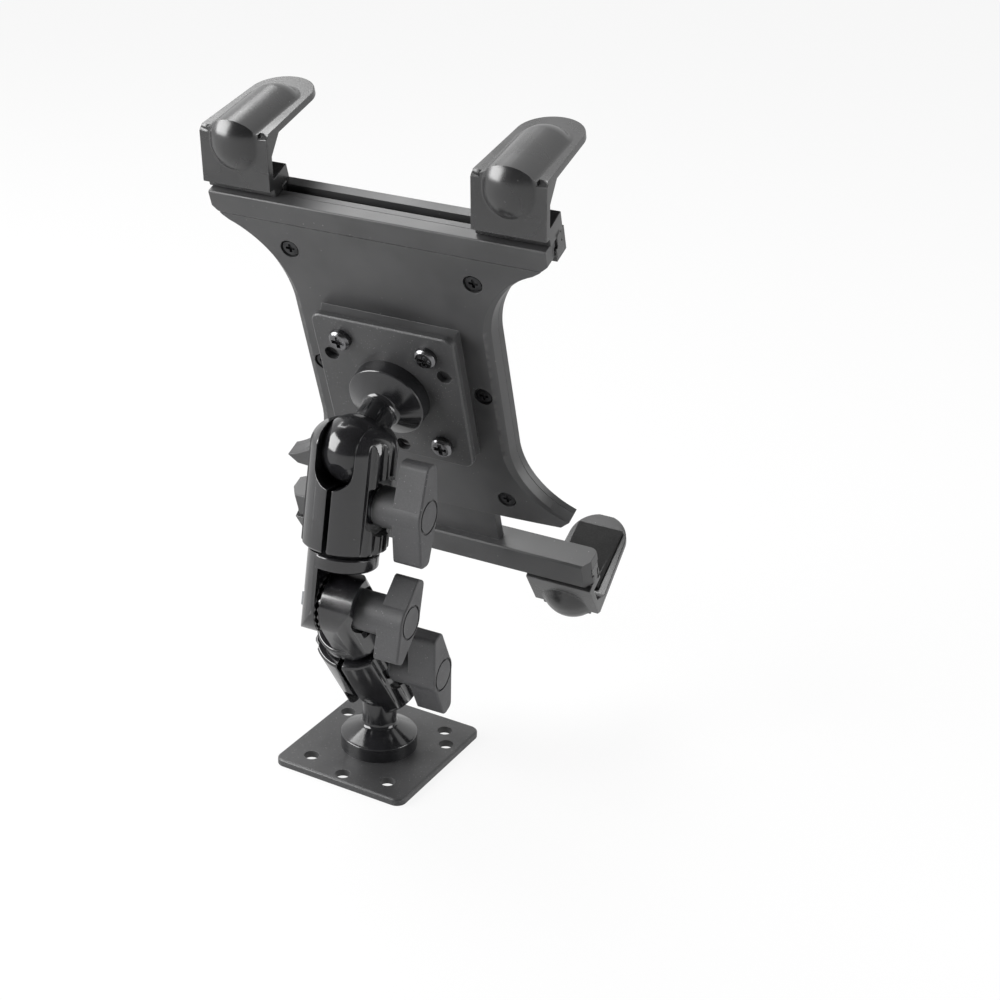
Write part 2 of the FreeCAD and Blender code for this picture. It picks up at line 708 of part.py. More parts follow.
def back_cover():
    """Rear shell of the body with its bevelled waist, the raised pad and a seam below the top bar."""
    shell = body_shell([(BODY_DEPTH, 0), (BODY_DEPTH - BEVEL_DROP, BEVEL_OUT), parting()])
    rim = edges_at(shell, lambda c: abs(c.z - BODY_DEPTH) < 0.01 and c.y > BAR_TOP - 1)
    shell = shell.makeChamfer(BODY_EDGE, rim)
    pad = Part.makeLoft([pad_rim(PAD_DRAFT, BODY_DEPTH - 1), pad_rim(0, PAD_TOP)], True, True)
    seam = block((-FAR, SEAM_Y, BODY_DEPTH - SEAM_DEPTH), (FAR, SEAM_Y + SEAM_WIDTH, BODY_DEPTH + 1))
    return merged([shell, pad]).cut(body_spaces() + [seam])


def front_tray():
    """Front shell: wings clear of the tablet, a keel round the tongue and the top bar."""
    wings = body_shell([parting(), (WING_FRONT, WALL_STEP)])
    bar = block((-BAR_HALF, BAR_LOW, 0), (BAR_HALF, BAR_TOP, WING_FRONT))
    middle = block((-KEEL_HALF, -FAR, 0), (KEEL_HALF, FAR, WING_FRONT))
    keel = body_shell([(WING_FRONT, 0), (0, 0)]).common(middle)
    return merged([wings, bar, keel]).cut(body_spaces())


# Slider and claws

def slider_bar():
    """Lower bar with its tapered ends and the tongue that runs in the body."""
    shoulder = (SLIDER_HALF - SLIDER_END[0], SLIDER_BACK)
    toe = (SLIDER_HALF - SLIDER_FRONT_END[0], 0)
    half = [toe, (SLIDER_HALF, SLIDER_FRONT_END[1]), (SLIDER_HALF, SLIDER_BACK - SLIDER_END[1]), shoulder]
    plan = half + [(-x, z) for x, z in reversed(half)]
    points = [Vector(x, SLIDER_LOW, z) for x, z in plan + plan[:1]]
    bar = Part.Face(Part.makePolygon(points)).extrude(Vector(0, SLIDER_TOP - SLIDER_LOW, 0))
    back = edges_at(bar, lambda c: abs(c.z - SLIDER_BACK) < 0.01 and abs(c.x) < 1)
    bar = bar.makeChamfer(SLIDER_EDGE, back)
    tongue = block((-TONGUE_HALF, SLIDER_TOP - 1, TONGUE_FRONT), (TONGUE_HALF, TONGUE_TOP, TONGUE_BACK))
    rail = [(-y, z) for y, z in rail_section(-SLIDER_LOW, SLIDER_RAIL_Z, RAIL_GAP)]
    slider = merged([bar, tongue]).cut(side_prism(rail, -FAR, FAR))
    slider.translate(Vector(SLIDER_SHIFT, 0, 0))
    return slider


def claw_fold(start, back):
    """The claw's outer corner in (y, z), the directions from it down the wall and along the tongue."""
    fold = Vector(0, start + CLAW_HEIGHT, back - CLAW_LEAN)
    wall = Vector(0, -CLAW_HEIGHT, CLAW_LEAN).normalize()
    slope = math.radians(CLAW_SLOPE)
    tongue = Vector(0, -math.sin(slope), -math.cos(slope))
    return fold, wall, tongue


def claw(mouth_y, rail_z, start, back):
    """Upward claw, centred on X = 0: its foot runs in a rail, its wall starts at start, at depth back."""
    fold, wall, tongue = claw_fold(start, back)
    inward = X_AXIS.cross(wall)
    under = tongue.cross(X_AXIS)
    base_y = mouth_y + RAIL_GAP
    low = fold + wall * Vector(0, CLAW_HEIGHT, CLAW_LEAN).Length
    tip = fold + tongue * CLAW_REACH
    root = low - wall * CLAW_ROOT_HEIGHT + inward * CLAW_WALL
    front = rail_z - CLAW_ROOT_FRONT
    inner_low = low + inward * CLAW_WALL
    points = [low, fold + wall * CLAW_FOLD_BREAK, fold + tongue * CLAW_FOLD_BREAK,
              tip, tip + under * CLAW_TONGUE,
              fold + tongue * (CLAW_WALL + CLAW_GUSSET) + under * CLAW_TONGUE,
              fold + wall * (CLAW_TONGUE + CLAW_GUSSET) + inward * CLAW_WALL, root]
    outline = [(p.y, p.z) for p in points]
    outline += [(root.y, front), (base_y, front), (base_y, inner_low.z), (inner_low.y, inner_low.z)]
    half = CLAW_WIDTH / 2
    body = side_prism(outline, -half, half).fuse(claw_rib(start, back))
    body = body.common(claw_plan(half, fold, tip.z))
    foot = side_prism(rail_section(mouth_y, rail_z, 0.0), -half, half)
    foot = foot.common(block((-half, mouth_y - FAR, -FAR), (half, base_y + 1, FAR)))
    return merged([body, foot])


def claw_plan(half, fold, tip_z):
    """A claw seen from above, as a tall solid: straight to the fold, then narrowing to a round tip."""
    centre = tip_z + CLAW_TIP_R
    reach = math.hypot(half, fold.z - centre)
    turn = math.atan2(fold.z - centre, half) - math.acos(CLAW_TIP_R / reach)
    touch = (CLAW_TIP_R * math.cos(turn), centre + CLAW_TIP_R * math.sin(turn))
    side = [(half, fold.z + FAR), (half, fold.z), touch]
    plan = side + [(-x, z) for x, z in reversed(side)]
    low = fold.y - FAR
    points = [Vector(x, low, z) for x, z in plan + plan[:1]]
    taper = Part.Face(Part.makePolygon(points)).extrude(Vector(0, 2 * FAR, 0))
    return taper.fuse(cylinder(CLAW_TIP_R, low, low + 2 * FAR, Y_AXIS, Vector(0, 0, centre)))


def claw_rib(start, back):
    """Rounded rib over the fold: low on the wall, high on the tongue, with a crease between."""
    fold, wall, tongue = claw_fold(start, back)
    inward = X_AXIS.cross(wall)
    under = tongue.cross(X_AXIS)
    bars = []
    arms = ((wall, inward, WALL_RIB_R, WALL_RIB_RISE, WALL_RIB_END),
            (tongue, under, TONGUE_RIB_R, TONGUE_RIB_RISE, TONGUE_RIB_END))
    for along, depth, radius, rise, reach in arms:
        end = fold + along * reach + depth * (radius - rise)
        bar = Part.makeCylinder(radius, reach + 2 * radius, end, along * -1)
        bars.append(bar.fuse(Part.makeSphere(radius, end)))
    behind_wall = sheet_side(fold, wall, inward)
    below_tongue = sheet_side(fold, tongue, under)
    rib = merged([bars[0].common(bars[1]), bars[1].common(behind_wall), bars[0].common(below_tongue)])
    skin = fold + (inward + under) * (CLAW_RIB_SKIN / (1 + inward.dot(under)))
    inside = [skin, skin + wall * FAR, skin + (wall + tongue) * FAR, skin + tongue * FAR]
    return rib.cut(side_prism([(p.y, p.z) for p in inside], -FAR, FAR))


def sheet_side(point, along, depth):
    """All that lies on the inner side of a sheet through a point."""
    corners = [point - along * FAR, point + along * FAR,
               point + (along + depth) * FAR, point + (depth - along) * FAR]
    return side_prism([(p.y, p.z) for p in corners], -FAR, FAR)


def grip(start, back):
    """Soft strip on the inner face of a claw's tongue."""
    fold, wall, tongue = claw_fold(start, back)
    under = tongue.cross(X_AXIS)
    low, high = [fold + tongue * part + under * CLAW_TONGUE for part in GRIP_ENDS]
    corners = [low, high, high + under * GRIP_THICK, low + under * GRIP_THICK]
    return side_prism([(p.y, p.z) for p in corners], -GRIP_WIDTH / 2, GRIP_WIDTH / 2)


def claw_nodes():
    """The four claws with their soft strips."""
    flip = Vector(0, 1, 0)
    top_start = BAR_TOP + CLAW_TOP_RISE
    low_start = CLAW_LOW_DROP - SLIDER_LOW
    low_back = SLIDER_BACK + CLAW_LOW_PROUD
    low_claw = claw(-SLIDER_LOW, SLIDER_RAIL_Z, low_start, low_back).mirror(ORIGIN, flip)
    low_grip = grip(low_start, low_back).mirror(ORIGIN, flip)
    made = {
        "top": (claw(BAR_TOP, body_rail_z(), top_start, BODY_DEPTH),
                grip(top_start, BODY_DEPTH), 0, BAR_HALF - CLAW_TOP_INSET),
        "bottom": (low_claw, low_grip, SLIDER_SHIFT, SLIDER_HALF - CLAW_LOW_INSET)}
    nodes = {}
    for end, (claw_shape, grip_shape, middle, x) in made.items():
        for side, sign in (("left", -1), ("right", 1)):
            at = Placement(Vector(middle + sign * x, 0, 0), Rotation())
            nodes["claw_" + end + "_" + side] = moved(claw_shape, at)
            nodes["grip_" + end + "_" + side] = moved(grip_shape, at)
    return nodes


# Assembly

def base_nodes():
    """The base plate and its ball."""
    return {"base_plate": plate(), "base_ball": ball_piece(), "base_ball_screw": ball_screw()}


def arm_nodes(name, frame, knob_turn):
    """Shells, clamp bolt, washer and knob of one arm half."""
    at_bolt = Placement(Vector(0, 0, bolt_height()), Rotation())
    start = SEAT_X + WASHER_THICK + SEAT_GAP
    knob_shape = knob(start, KNOB_WING_X, KNOB_END_X, KNOB_SPAN, KNOB_TIP)
    insert_end = start + INSERT_INSET + INSERT_LENGTH
    local = {
        "socket_right": socket_shell(KNOB_SEAT_R),
        "socket_left": mirror_x(socket_shell(HEAD_SEAT_R)),
        "bolt": moved(bolt(-SEAT_X, insert_end), at_bolt),
        "washer": moved(washer(SEAT_X), at_bolt),
        "knob": moved(turned_knob(knob_shape, knob_turn), at_bolt),
        "knob_insert": moved(turned_knob(insert(start + INSERT_INSET), knob_turn), at_bolt)}
    return {name + "_" + key: moved(shape, frame) for key, shape in local.items()}


def elbow_nodes():
    """Both knuckles and the elbow's bolt, washer and knob."""
    seat = DOME_FACE_X - DOME_RECESS_DEPTH
    start = seat + WASHER_THICK + SEAT_GAP
    knob_shape = knob(start, ELBOW_KNOB_WING_X, ELBOW_KNOB_END_X, ELBOW_KNOB_SPAN, ELBOW_KNOB_TIP)
    insert_end = start + INSERT_INSET + INSERT_LENGTH
    lower = lower_arm_frame()
    upper = upper_arm_frame()
    return {
        "lower_knuckle": moved(lower_knuckle(), lower),
        "upper_knuckle": moved(upper_knuckle(), upper),
        "elbow_bolt": moved(bolt(leg_pocket_x(), insert_end), upper),
        "elbow_washer": moved(washer(seat), upper),
        "elbow_knob": moved(turned_knob(knob_shape, ELBOW_KNOB_TURN), upper),
        "elbow_knob_insert": moved(turned_knob(insert(start + INSERT_INSET), ELBOW_KNOB_TURN), upper)}


def holder_nodes():
    """Everything beyond the upper ball."""
    frame = holder_frame()
    on_pad = Placement(Vector(0, 0, PAD_TOP), Rotation())
    cover_screws = [cover_screw(Vector(x, y, 0)) for x, y in cover_screw_places()]
    local = {
        "adapter_plate": moved(plate(), on_pad),
        "holder_ball": moved(ball_piece(), on_pad),
        "holder_ball_screw": moved(ball_screw(), on_pad),
        "adapter_screws": Part.makeCompound([plate_screw(at) for at in corner_hole_places()]),
        "back_cover": back_cover(),
        "front_tray": front_tray(),
        "cover_screws": Part.makeCompound(cover_screws),
        "slider_bar": slider_bar()}
    local.update(claw_nodes())
    return {name: moved(shape, frame) for name, shape in local.items()}


def main():
    """Build every piece and write one file for each."""
    nodes = base_nodes()
    nodes.update(arm_nodes("lower", lower_arm_frame(), LOWER_KNOB_TURN))
    nodes.update(arm_nodes("upper", upper_arm_frame(), UPPER_KNOB_TURN))
    nodes.update(elbow_nodes())
    nodes.update(holder_nodes())
    os.makedirs("parts", exist_ok=True)
    for name, shape in nodes.items():
        shape.exportStep("parts/" + name + ".step")
        print(name, len(shape.Solids), shape.isValid(), round(shape.Volume, 1))


main()
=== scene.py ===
import json
import math

import bmesh
import bpy
from bpy.props import FloatProperty, FloatVectorProperty, IntProperty, PointerProperty
from mathutils import Euler, Matrix, Vector


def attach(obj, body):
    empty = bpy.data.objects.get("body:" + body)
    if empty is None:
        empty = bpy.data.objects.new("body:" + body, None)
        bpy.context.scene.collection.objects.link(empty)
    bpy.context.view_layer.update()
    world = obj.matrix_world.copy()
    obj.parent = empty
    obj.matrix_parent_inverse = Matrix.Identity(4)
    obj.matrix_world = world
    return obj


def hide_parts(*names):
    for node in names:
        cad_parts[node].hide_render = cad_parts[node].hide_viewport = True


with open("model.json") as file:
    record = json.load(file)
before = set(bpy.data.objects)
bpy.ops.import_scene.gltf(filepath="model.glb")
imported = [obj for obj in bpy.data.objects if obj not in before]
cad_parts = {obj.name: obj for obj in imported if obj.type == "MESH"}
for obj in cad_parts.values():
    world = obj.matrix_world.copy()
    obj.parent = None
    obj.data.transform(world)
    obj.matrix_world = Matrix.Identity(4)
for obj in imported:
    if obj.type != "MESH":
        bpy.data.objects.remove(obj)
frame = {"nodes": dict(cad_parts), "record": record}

bl_info = {
    "name": "Tablet Mount Finish",
    "version": (1, 0, 0),
    "blender": (4, 5, 0),
    "location": "View3D > Sidebar > Mount",
    "description": "Shapes and finishes the pieces of a tablet holder on a jointed arm",
    "category": "Object",
}

# Blender works in metres and the sizes below are in millimetres.
MM = 0.001

# Anything closer than this is one vertex, and faces that turn less than this are one face.
MERGE_DISTANCE = 0.001 * MM
FLAT_ANGLE = math.radians(0.3)

# Edges that turn more than the hard angle are rounded, on the claws only those past the square angle. Edges
# that turn less than the smooth angle are shaded smooth.
HARD_ANGLE = math.radians(28)
SQUARE_ANGLE = math.radians(60)
SMOOTH_ANGLE = math.radians(40)

# Turned ball piece in millimetres: foot, cone and neck as (radius, height) above the plate, then its ball.
BALL_FOOT = (
    (13.15, 0.0), (13.15, 4.7), (13.05, 4.95), (12.8, 5.15), (12.4, 5.35),
    (6.9, 8.35), (6.4, 8.7), (6.05, 9.2), (5.87, 9.8), (5.85, 10.6), (5.85, 17.2))
BALL_RADIUS = 11.0
BALL_HEIGHT = 27.0
BALL_NECK = 5.85
BALL_FLAT = 3.0
BALL_STEPS = 28

# Claws: how far the wall and the tongue lean, and how far the solid's own ribs stand proud of them.
WALL_LEAN = math.radians(15.42)
TONGUE_SLOPE = math.radians(8.5)
WALL_RIB = 1.2 * MM
TONGUE_RIB = 3.8 * MM

# Moulded swellings of a claw as (radius, rise, fillet at the foot) in millimetres.
RIB = (10.1, 3.9, 2.0)
KNUCKLE = (11.1, 3.6, 1.5)

# The rib runs from past the corner to this far along the tongue, the knuckle between two heights below it.
RIB_PAST = 10.0
RIB_LENGTH = 24.0
KNUCKLE_LOW = 4.5
KNUCKLE_HIGH = 3.0

# How deep the swellings go into the claw, how deep the rib's copy that trims the knuckle goes, and how far
# below the corner its band is cut.
RIB_SKIRT = 1.2
KNUCKLE_SKIRT = 2.0
ENVELOPE_SKIRT = 30.0
CORNER_CUT = 1.6

# Rings of a swelling's fillet and of its crown, and cuts along its stretched part.
FOOT_STEPS = 5
CROWN_STEPS = 14
STRETCH_CUTS = 24

# A direction along which no two points, edges or faces of a round form are level.
ORDER = Vector((1.0, 1.618, 2.718))

# Points round a turned form, and steps across a rounded edge.
ROUND_POINTS = 64
EDGE_STEPS = 2
GRIP_STEPS = 3

# Shared surface patterns: detail of their noise, and the ramps that spread a noise or a turn to 0 and 1.
GRAIN_DETAIL = 2.0
CLOUD_DETAIL = 3.0
LINE_DETAIL = 4.0
CLOUD_RAMP = (0.35, 0.65)
PATCH_RAMP = (0.3, 0.7)
# Mask for rubbed edges and for the highlight painted along edges: its ramp, the radius it rounds over and its
# samples.
RUB_AND_HIGHLIGHT_RAMP = (0.995, 0.93)
RUB_AND_HIGHLIGHT_RADIUS = 0.35 * MM
RUB_AND_HIGHLIGHT_SAMPLES = 6

# Sockets of a colour Mix node, which are told apart only by their order.
MIX_FACTOR, MIX_FIRST, MIX_SECOND, MIX_RESULT = 0, 6, 7, 2

ARMS = ("lower", "upper")
SIDES = ("left", "right")
ENDS = ("top", "bottom")


class EdgeSizes(bpy.types.PropertyGroup):
    plate: FloatProperty(
        name="Plate edge", description="Width of the rounding along the plates' edges",
        default=0.18 * MM, unit="LENGTH")
    casting: FloatProperty(
        name="Casting edge", description="Width of the rounding along the enamelled castings' edges",
        default=0.22 * MM, unit="LENGTH")
    shell: FloatProperty(
        name="Shell edge", description="Width of the rounding along the holder shells' edges",
        default=0.16 * MM, unit="LENGTH")
    claw: FloatProperty(
        name="Claw edge", description="Width of the rounding along the claws' edges",
        default=0.3 * MM, unit="LENGTH")
    grip: FloatProperty(
        name="Grip edge", description="Width of the rounding along the soft grips' edges",
        default=0.4 * MM, unit="LENGTH")
    fastener: FloatProperty(
        name="Fastener edge", description="Width of the rounding along bolts, washers and screws",
        default=0.12 * MM, unit="LENGTH")


class FinishColours(bpy.types.PropertyGroup):
    powder: FloatVectorProperty(
        name="Powder coat", description="Colour of the two plates",
        default=(0.030, 0.030, 0.031), subtype="COLOR", min=0, max=1)
    coating: FloatVectorProperty(
        name="Ball coating", description="Colour of the two ball pieces",
        default=(0.010, 0.010, 0.011), subtype="COLOR", min=0, max=1)
    enamel: FloatVectorProperty(
        name="Enamel", description="Colour of the arm's castings",
        default=(0.007, 0.007, 0.008), subtype="COLOR", min=0, max=1)
    knob: FloatVectorProperty(
        name="Knob plastic", description="Colour of the three knobs",
        default=(0.052, 0.052, 0.054), subtype="COLOR", min=0, max=1)
    shell: FloatVectorProperty(
        name="Shell plastic", description="Colour of the holder's shells and bar",
        default=(0.040, 0.040, 0.041), subtype="COLOR", min=0, max=1)
    claw: FloatVectorProperty(
        name="Claw plastic", description="Colour of the four claws",
        default=(0.016, 0.016, 0.0165), subtype="COLOR", min=0, max=1)
    rubber: FloatVectorProperty(
        name="Rubber", description="Colour of the soft grips",
        default=(0.012, 0.012, 0.012), subtype="COLOR", min=0, max=1)
    zinc: FloatVectorProperty(
        name="Zinc", description="Colour of the bolts and washers",
        default=(0.45, 0.46, 0.48), subtype="COLOR", min=0, max=1)
    brass: FloatVectorProperty(
        name="Brass", description="Colour of the knobs' inserts",
        default=(0.70, 0.55, 0.25), subtype="COLOR", min=0, max=1)
    oxide: FloatVectorProperty(
        name="Black oxide", description="Colour of the screws",
        default=(0.16, 0.16, 0.165), subtype="COLOR", min=0, max=1)
    # Paler colour of rubbed edges and of the highlight painted along edges; some finishes also give it to
    # bright specks.
    worn_and_highlight: FloatVectorProperty(
        name="Rubbed edge and highlight", description="Colour of dark plastic and paint where rubbed, and of the highlight painted along edges",
        default=(0.16, 0.16, 0.16), subtype="COLOR", min=0, max=1)
    floor: FloatVectorProperty(
        name="Floor", description="Colour of the floor",
        default=(0.86, 0.86, 0.86), subtype="COLOR", min=0, max=1)


class StageSizes(bpy.types.PropertyGroup):
    floor_radius: FloatProperty(
        name="Floor radius", description="Radius of the round floor",
        default=4.0, unit="LENGTH")
    floor_points: IntProperty(
        name="Floor points", description="Points round the floor's rim",
        default=96, min=12)
    lens: FloatProperty(
        name="Lens", description="Focal length of the camera in millimetres",
        default=67.35, unit="CAMERA")
    room: FloatProperty(
        name="Room light", description="Strength of the soft light from above and in front",
        default=0.09, min=0)
    key_power: FloatProperty(
        name="Left light", description="Power of the panel on the left in watts",
        default=13.0, min=0, unit="POWER")
    side_power: FloatProperty(
        name="Right light", description="Power of the panel on the right in watts",
        default=3.2, min=0, unit="POWER")
    rear_power: FloatProperty(
        name="Upper light", description="Power of the panel above on the left in watts",
        default=4.0, min=0, unit="POWER")


# Selecting and shaping

def deselect():
    """Leaves object mode with nothing selected."""
    if bpy.context.mode != "OBJECT":
        bpy.ops.object.mode_set(mode="OBJECT")
    bpy.ops.object.select_all(action="DESELECT")


def make_active(piece):
    """Selects one piece only and makes it the active one."""
    deselect()
    piece.select_set(True)
    bpy.context.view_layer.objects.active = piece


def merge_points(piece):
    """Merges doubled points and clears the shading that came with them."""
    make_active(piece)
    bpy.ops.mesh.customdata_custom_splitnormals_clear()
    bpy.ops.object.mode_set(mode="EDIT")
    bpy.ops.mesh.select_all(action="SELECT")
    bpy.ops.mesh.remove_doubles(threshold=MERGE_DISTANCE)
    bpy.ops.object.mode_set(mode="OBJECT")


def tidy_mesh(piece):
    """Merges doubled points, joins flat faces and clears sharp marks."""
    merge_points(piece)
    bpy.ops.object.mode_set(mode="EDIT")
    bpy.ops.mesh.select_all(action="SELECT")
    bpy.ops.mesh.dissolve_limited(angle_limit=FLAT_ANGLE)
    bpy.ops.mesh.select_all(action="SELECT")
    bpy.ops.mesh.mark_sharp(clear=True)
    bpy.ops.object.mode_set(mode="OBJECT")


def round_edges(piece, width, steps, hard=HARD_ANGLE):
    """Rounds the hard edges of a piece and shades it smooth between the ones that are left."""
    make_active(piece)
    bpy.ops.object.modifier_add(type="BEVEL")
    bevel = piece.modifiers[-1]
    bevel.limit_method = "ANGLE"
    bevel.angle_limit = hard
    bevel.width = width
    bevel.segments = steps
    bevel.use_clamp_overlap = False
    bevel.miter_outer = "MITER_ARC"
    bpy.ops.object.modifier_apply(modifier=bevel.name)
    shade(piece)


def shade(piece):
    """Shades a piece smooth between its hard edges, with flat faces kept flat."""
    make_active(piece)
    bpy.ops.object.shade_smooth_by_angle(angle=SMOOTH_ANGLE)
    bpy.ops.object.modifier_add(type="WEIGHTED_NORMAL")
    weighted = piece.modifiers[-1]
    weighted.keep_sharp = True
    bpy.ops.object.modifier_apply(modifier=weighted.name)


def joint_named(name):
    """A joint of the record."""
    return next(joint for joint in frame["record"]["behaviour"]["joints"] if joint["name"] == name)


def ring_stack(rings):
    """A closed round solid through rings of (radius, height), left in edit mode and selected."""
    deselect()
    bpy.ops.mesh.primitive_circle_add(
        vertices=ROUND_POINTS, radius=rings[0][0], fill_type="NGON", location=(0, 0, rings[0][1]))
    piece = bpy.context.object
    bpy.ops.object.transform_apply(location=True, rotation=True, scale=True)
    bpy.ops.object.mode_set(mode="EDIT")
    bpy.ops.mesh.select_all(action="SELECT")
    for (before, below), (radius, height) in zip(rings, rings[1:]):
        bpy.ops.mesh.extrude_region_move(TRANSFORM_OT_translate={"value": (0, 0, height - below)})
        share = radius / before
        bpy.ops.transform.resize(value=(share, share, 1), center_override=(0, 0, height))
    bpy.ops.mesh.select_all(action="SELECT")
    bpy.ops.mesh.normals_make_consistent(inside=False)
    settle_order(piece)
    return piece


def settle_order(piece):
    """Numbers a mesh in edit mode by place, because extrusion numbers it differently in each run."""
    shape = bmesh.from_edit_mesh(piece.data)
    shape.verts.sort(key=lambda point: point.co.dot(ORDER))
    shape.edges.sort(key=lambda edge: (edge.verts[0].co + edge.verts[1].co).dot(ORDER))
    shape.faces.sort(key=lambda face: face.calc_center_median().dot(ORDER))
    bmesh.update_edit_mesh(piece.data)


def put(piece, place):
    """Leaves edit mode and moves a piece to its place, with the place in its mesh."""
    bpy.ops.object.mode_set(mode="OBJECT")
    piece.matrix_world = place
    bpy.ops.object.transform_apply(location=True, rotation=True, scale=True)


def select_points(piece, wanted):
    """Selects the points of a mesh in edit mode by their place."""
    bpy.ops.mesh.select_mode(type="VERT")
    bpy.ops.mesh.select_all(action="DESELECT")
    points = bmesh.from_edit_mesh(piece.data)
    for vertex in points.verts:
        vertex.select_set(wanted(vertex.co))
    points.select_flush(True)
    bmesh.update_edit_mesh(piece.data)


def cut_off(piece, point, normal):
    """Cuts away what lies beyond a plane and closes the cut."""
    make_active(piece)
    bpy.ops.object.mode_set(mode="EDIT")
    bpy.ops.mesh.select_all(action="SELECT")
    bpy.ops.mesh.bisect(plane_co=point, plane_no=normal, use_fill=True, clear_outer=True)
    bpy.ops.object.mode_set(mode="OBJECT")


def combined(piece, other, operation):
    """Adds, cuts or intersects a piece with another one, which is used up."""
    make_active(piece)
    bpy.ops.object.modifier_add(type="BOOLEAN")
    step = piece.modifiers[-1]
    step.operation = operation
    step.solver = "EXACT"
    step.object = other
    bpy.ops.object.modifier_apply(modifier=step.name)
    bpy.data.objects.remove(other, do_unlink=True)


def copy_of(name):
    """A new piece from a merged copy of a CAD node's mesh."""
    piece = bpy.data.objects.new(name + "_finished", frame["nodes"][name].data.copy())
    bpy.context.scene.collection.objects.link(piece)
    tidy_mesh(piece)
    return piece


def coat(mesh, material):
    """Gives a mesh one material all over."""
    mesh.materials.clear()
    mesh.materials.append(material)


def finished(piece, name):
    """Gives a piece its finish, puts it on the body of the node it stands for and hides the node."""
    bodies = frame["record"]["behaviour"]["bodies"]
    slot = next(part["material_slot"] for part in frame["record"]["subparts"] if part["node"] == name)
    coat(piece.data, FINISHES[slot]())
    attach(piece, next(body for body, nodes in bodies.items() if name in nodes))
    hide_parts(name)


def finish_nodes(names, width, steps=EDGE_STEPS):
    """Finished copies of several CAD nodes with their hard edges rounded."""
    for name in names:
        piece = copy_of(name)
        round_edges(piece, width, steps)
        finished(piece, name)


# Node groups that several finishes share

def new_group(name, inputs, outputs):
    """An empty shader group with named sockets, and its input and output nodes."""
    group = bpy.data.node_groups.new(name, "ShaderNodeTree")
    for label, kind, default in inputs:
        socket = group.interface.new_socket(name=label, in_out="INPUT", socket_type=kind)
        if default is not None:
            socket.default_value = default
    for label, kind in outputs:
        group.interface.new_socket(name=label, in_out="OUTPUT", socket_type=kind)
    start = group.nodes.new("NodeGroupInput")
    end = group.nodes.new("NodeGroupOutput")
    return group, start, end


def ramp(tree, ends, source):
    """A clamped straight ramp from 0 at the first end to 1 at the second."""
    node = tree.nodes.new("ShaderNodeMapRange")
    node.inputs["From Min"].default_value, node.inputs["From Max"].default_value = ends
    tree.links.new(source, node.inputs["Value"])
    return node.outputs["Result"]


def math_node(tree, operation, first, second):
    """One arithmetic node; each input is a socket or a number."""
    node = tree.nodes.new("ShaderNodeMath")
    node.operation = operation
    for socket, value in zip(node.inputs, (first, second)):
        if isinstance(value, bpy.types.NodeSocket):
            tree.links.new(value, socket)
        else:
            socket.default_value = value
    return node.outputs[0]


def grain_group():
    """Fine moulded or sprayed grain: an even height and a soft tone that varies over the piece."""
    name = "Surface Grain"
    if name in bpy.data.node_groups:
        return bpy.data.node_groups[name]
    group, start, end = new_group(
        name,
        [("Vector", "NodeSocketVector", None), ("Scale", "NodeSocketFloat", 2500.0),
         ("Cloud Scale", "NodeSocketFloat", 60.0)],
        [("Height", "NodeSocketFloat"), ("Tone", "NodeSocketFloat")])
    fine = group.nodes.new("ShaderNodeTexNoise")
    fine.inputs["Detail"].default_value = GRAIN_DETAIL
    cloud = group.nodes.new("ShaderNodeTexNoise")
    cloud.inputs["Detail"].default_value = CLOUD_DETAIL
    links = group.links
    links.new(start.outputs["Vector"], fine.inputs["Vector"])
    links.new(start.outputs["Vector"], cloud.inputs["Vector"])
    links.new(start.outputs["Scale"], fine.inputs["Scale"])
    links.new(start.outputs["Cloud Scale"], cloud.inputs["Scale"])
    links.new(fine.outputs["Fac"], end.inputs["Height"])
    links.new(ramp(group, CLOUD_RAMP, cloud.outputs["Fac"]), end.inputs["Tone"])
    return group


def speck_group():
    """Small bright specks, such as dust and glass in dark plastic."""
    name = "Bright Specks"
    if name in bpy.data.node_groups:
        return bpy.data.node_groups[name]
    group, start, end = new_group(
        name,
        [("Vector", "NodeSocketVector", None), ("Scale", "NodeSocketFloat", 1500.0),
         ("Share", "NodeSocketFloat", 0.05), ("Size", "NodeSocketFloat", 0.25)],
        [("Mask", "NodeSocketFloat")])
    cells = group.nodes.new("ShaderNodeTexVoronoi")
    tone = group.nodes.new("ShaderNodeSeparateColor")
    links = group.links
    links.new(start.outputs["Vector"], cells.inputs["Vector"])
    links.new(start.outputs["Scale"], cells.inputs["Scale"])
    links.new(cells.outputs["Color"], tone.inputs["Color"])
    chosen = math_node(group, "LESS_THAN", tone.outputs["Red"], start.outputs["Share"])
    near = math_node(group, "LESS_THAN", cells.outputs["Distance"], start.outputs["Size"])
    bright = math_node(group, "MULTIPLY", chosen, tone.outputs["Green"])
    links.new(math_node(group, "MULTIPLY", bright, near), end.inputs["Mask"])
    return group


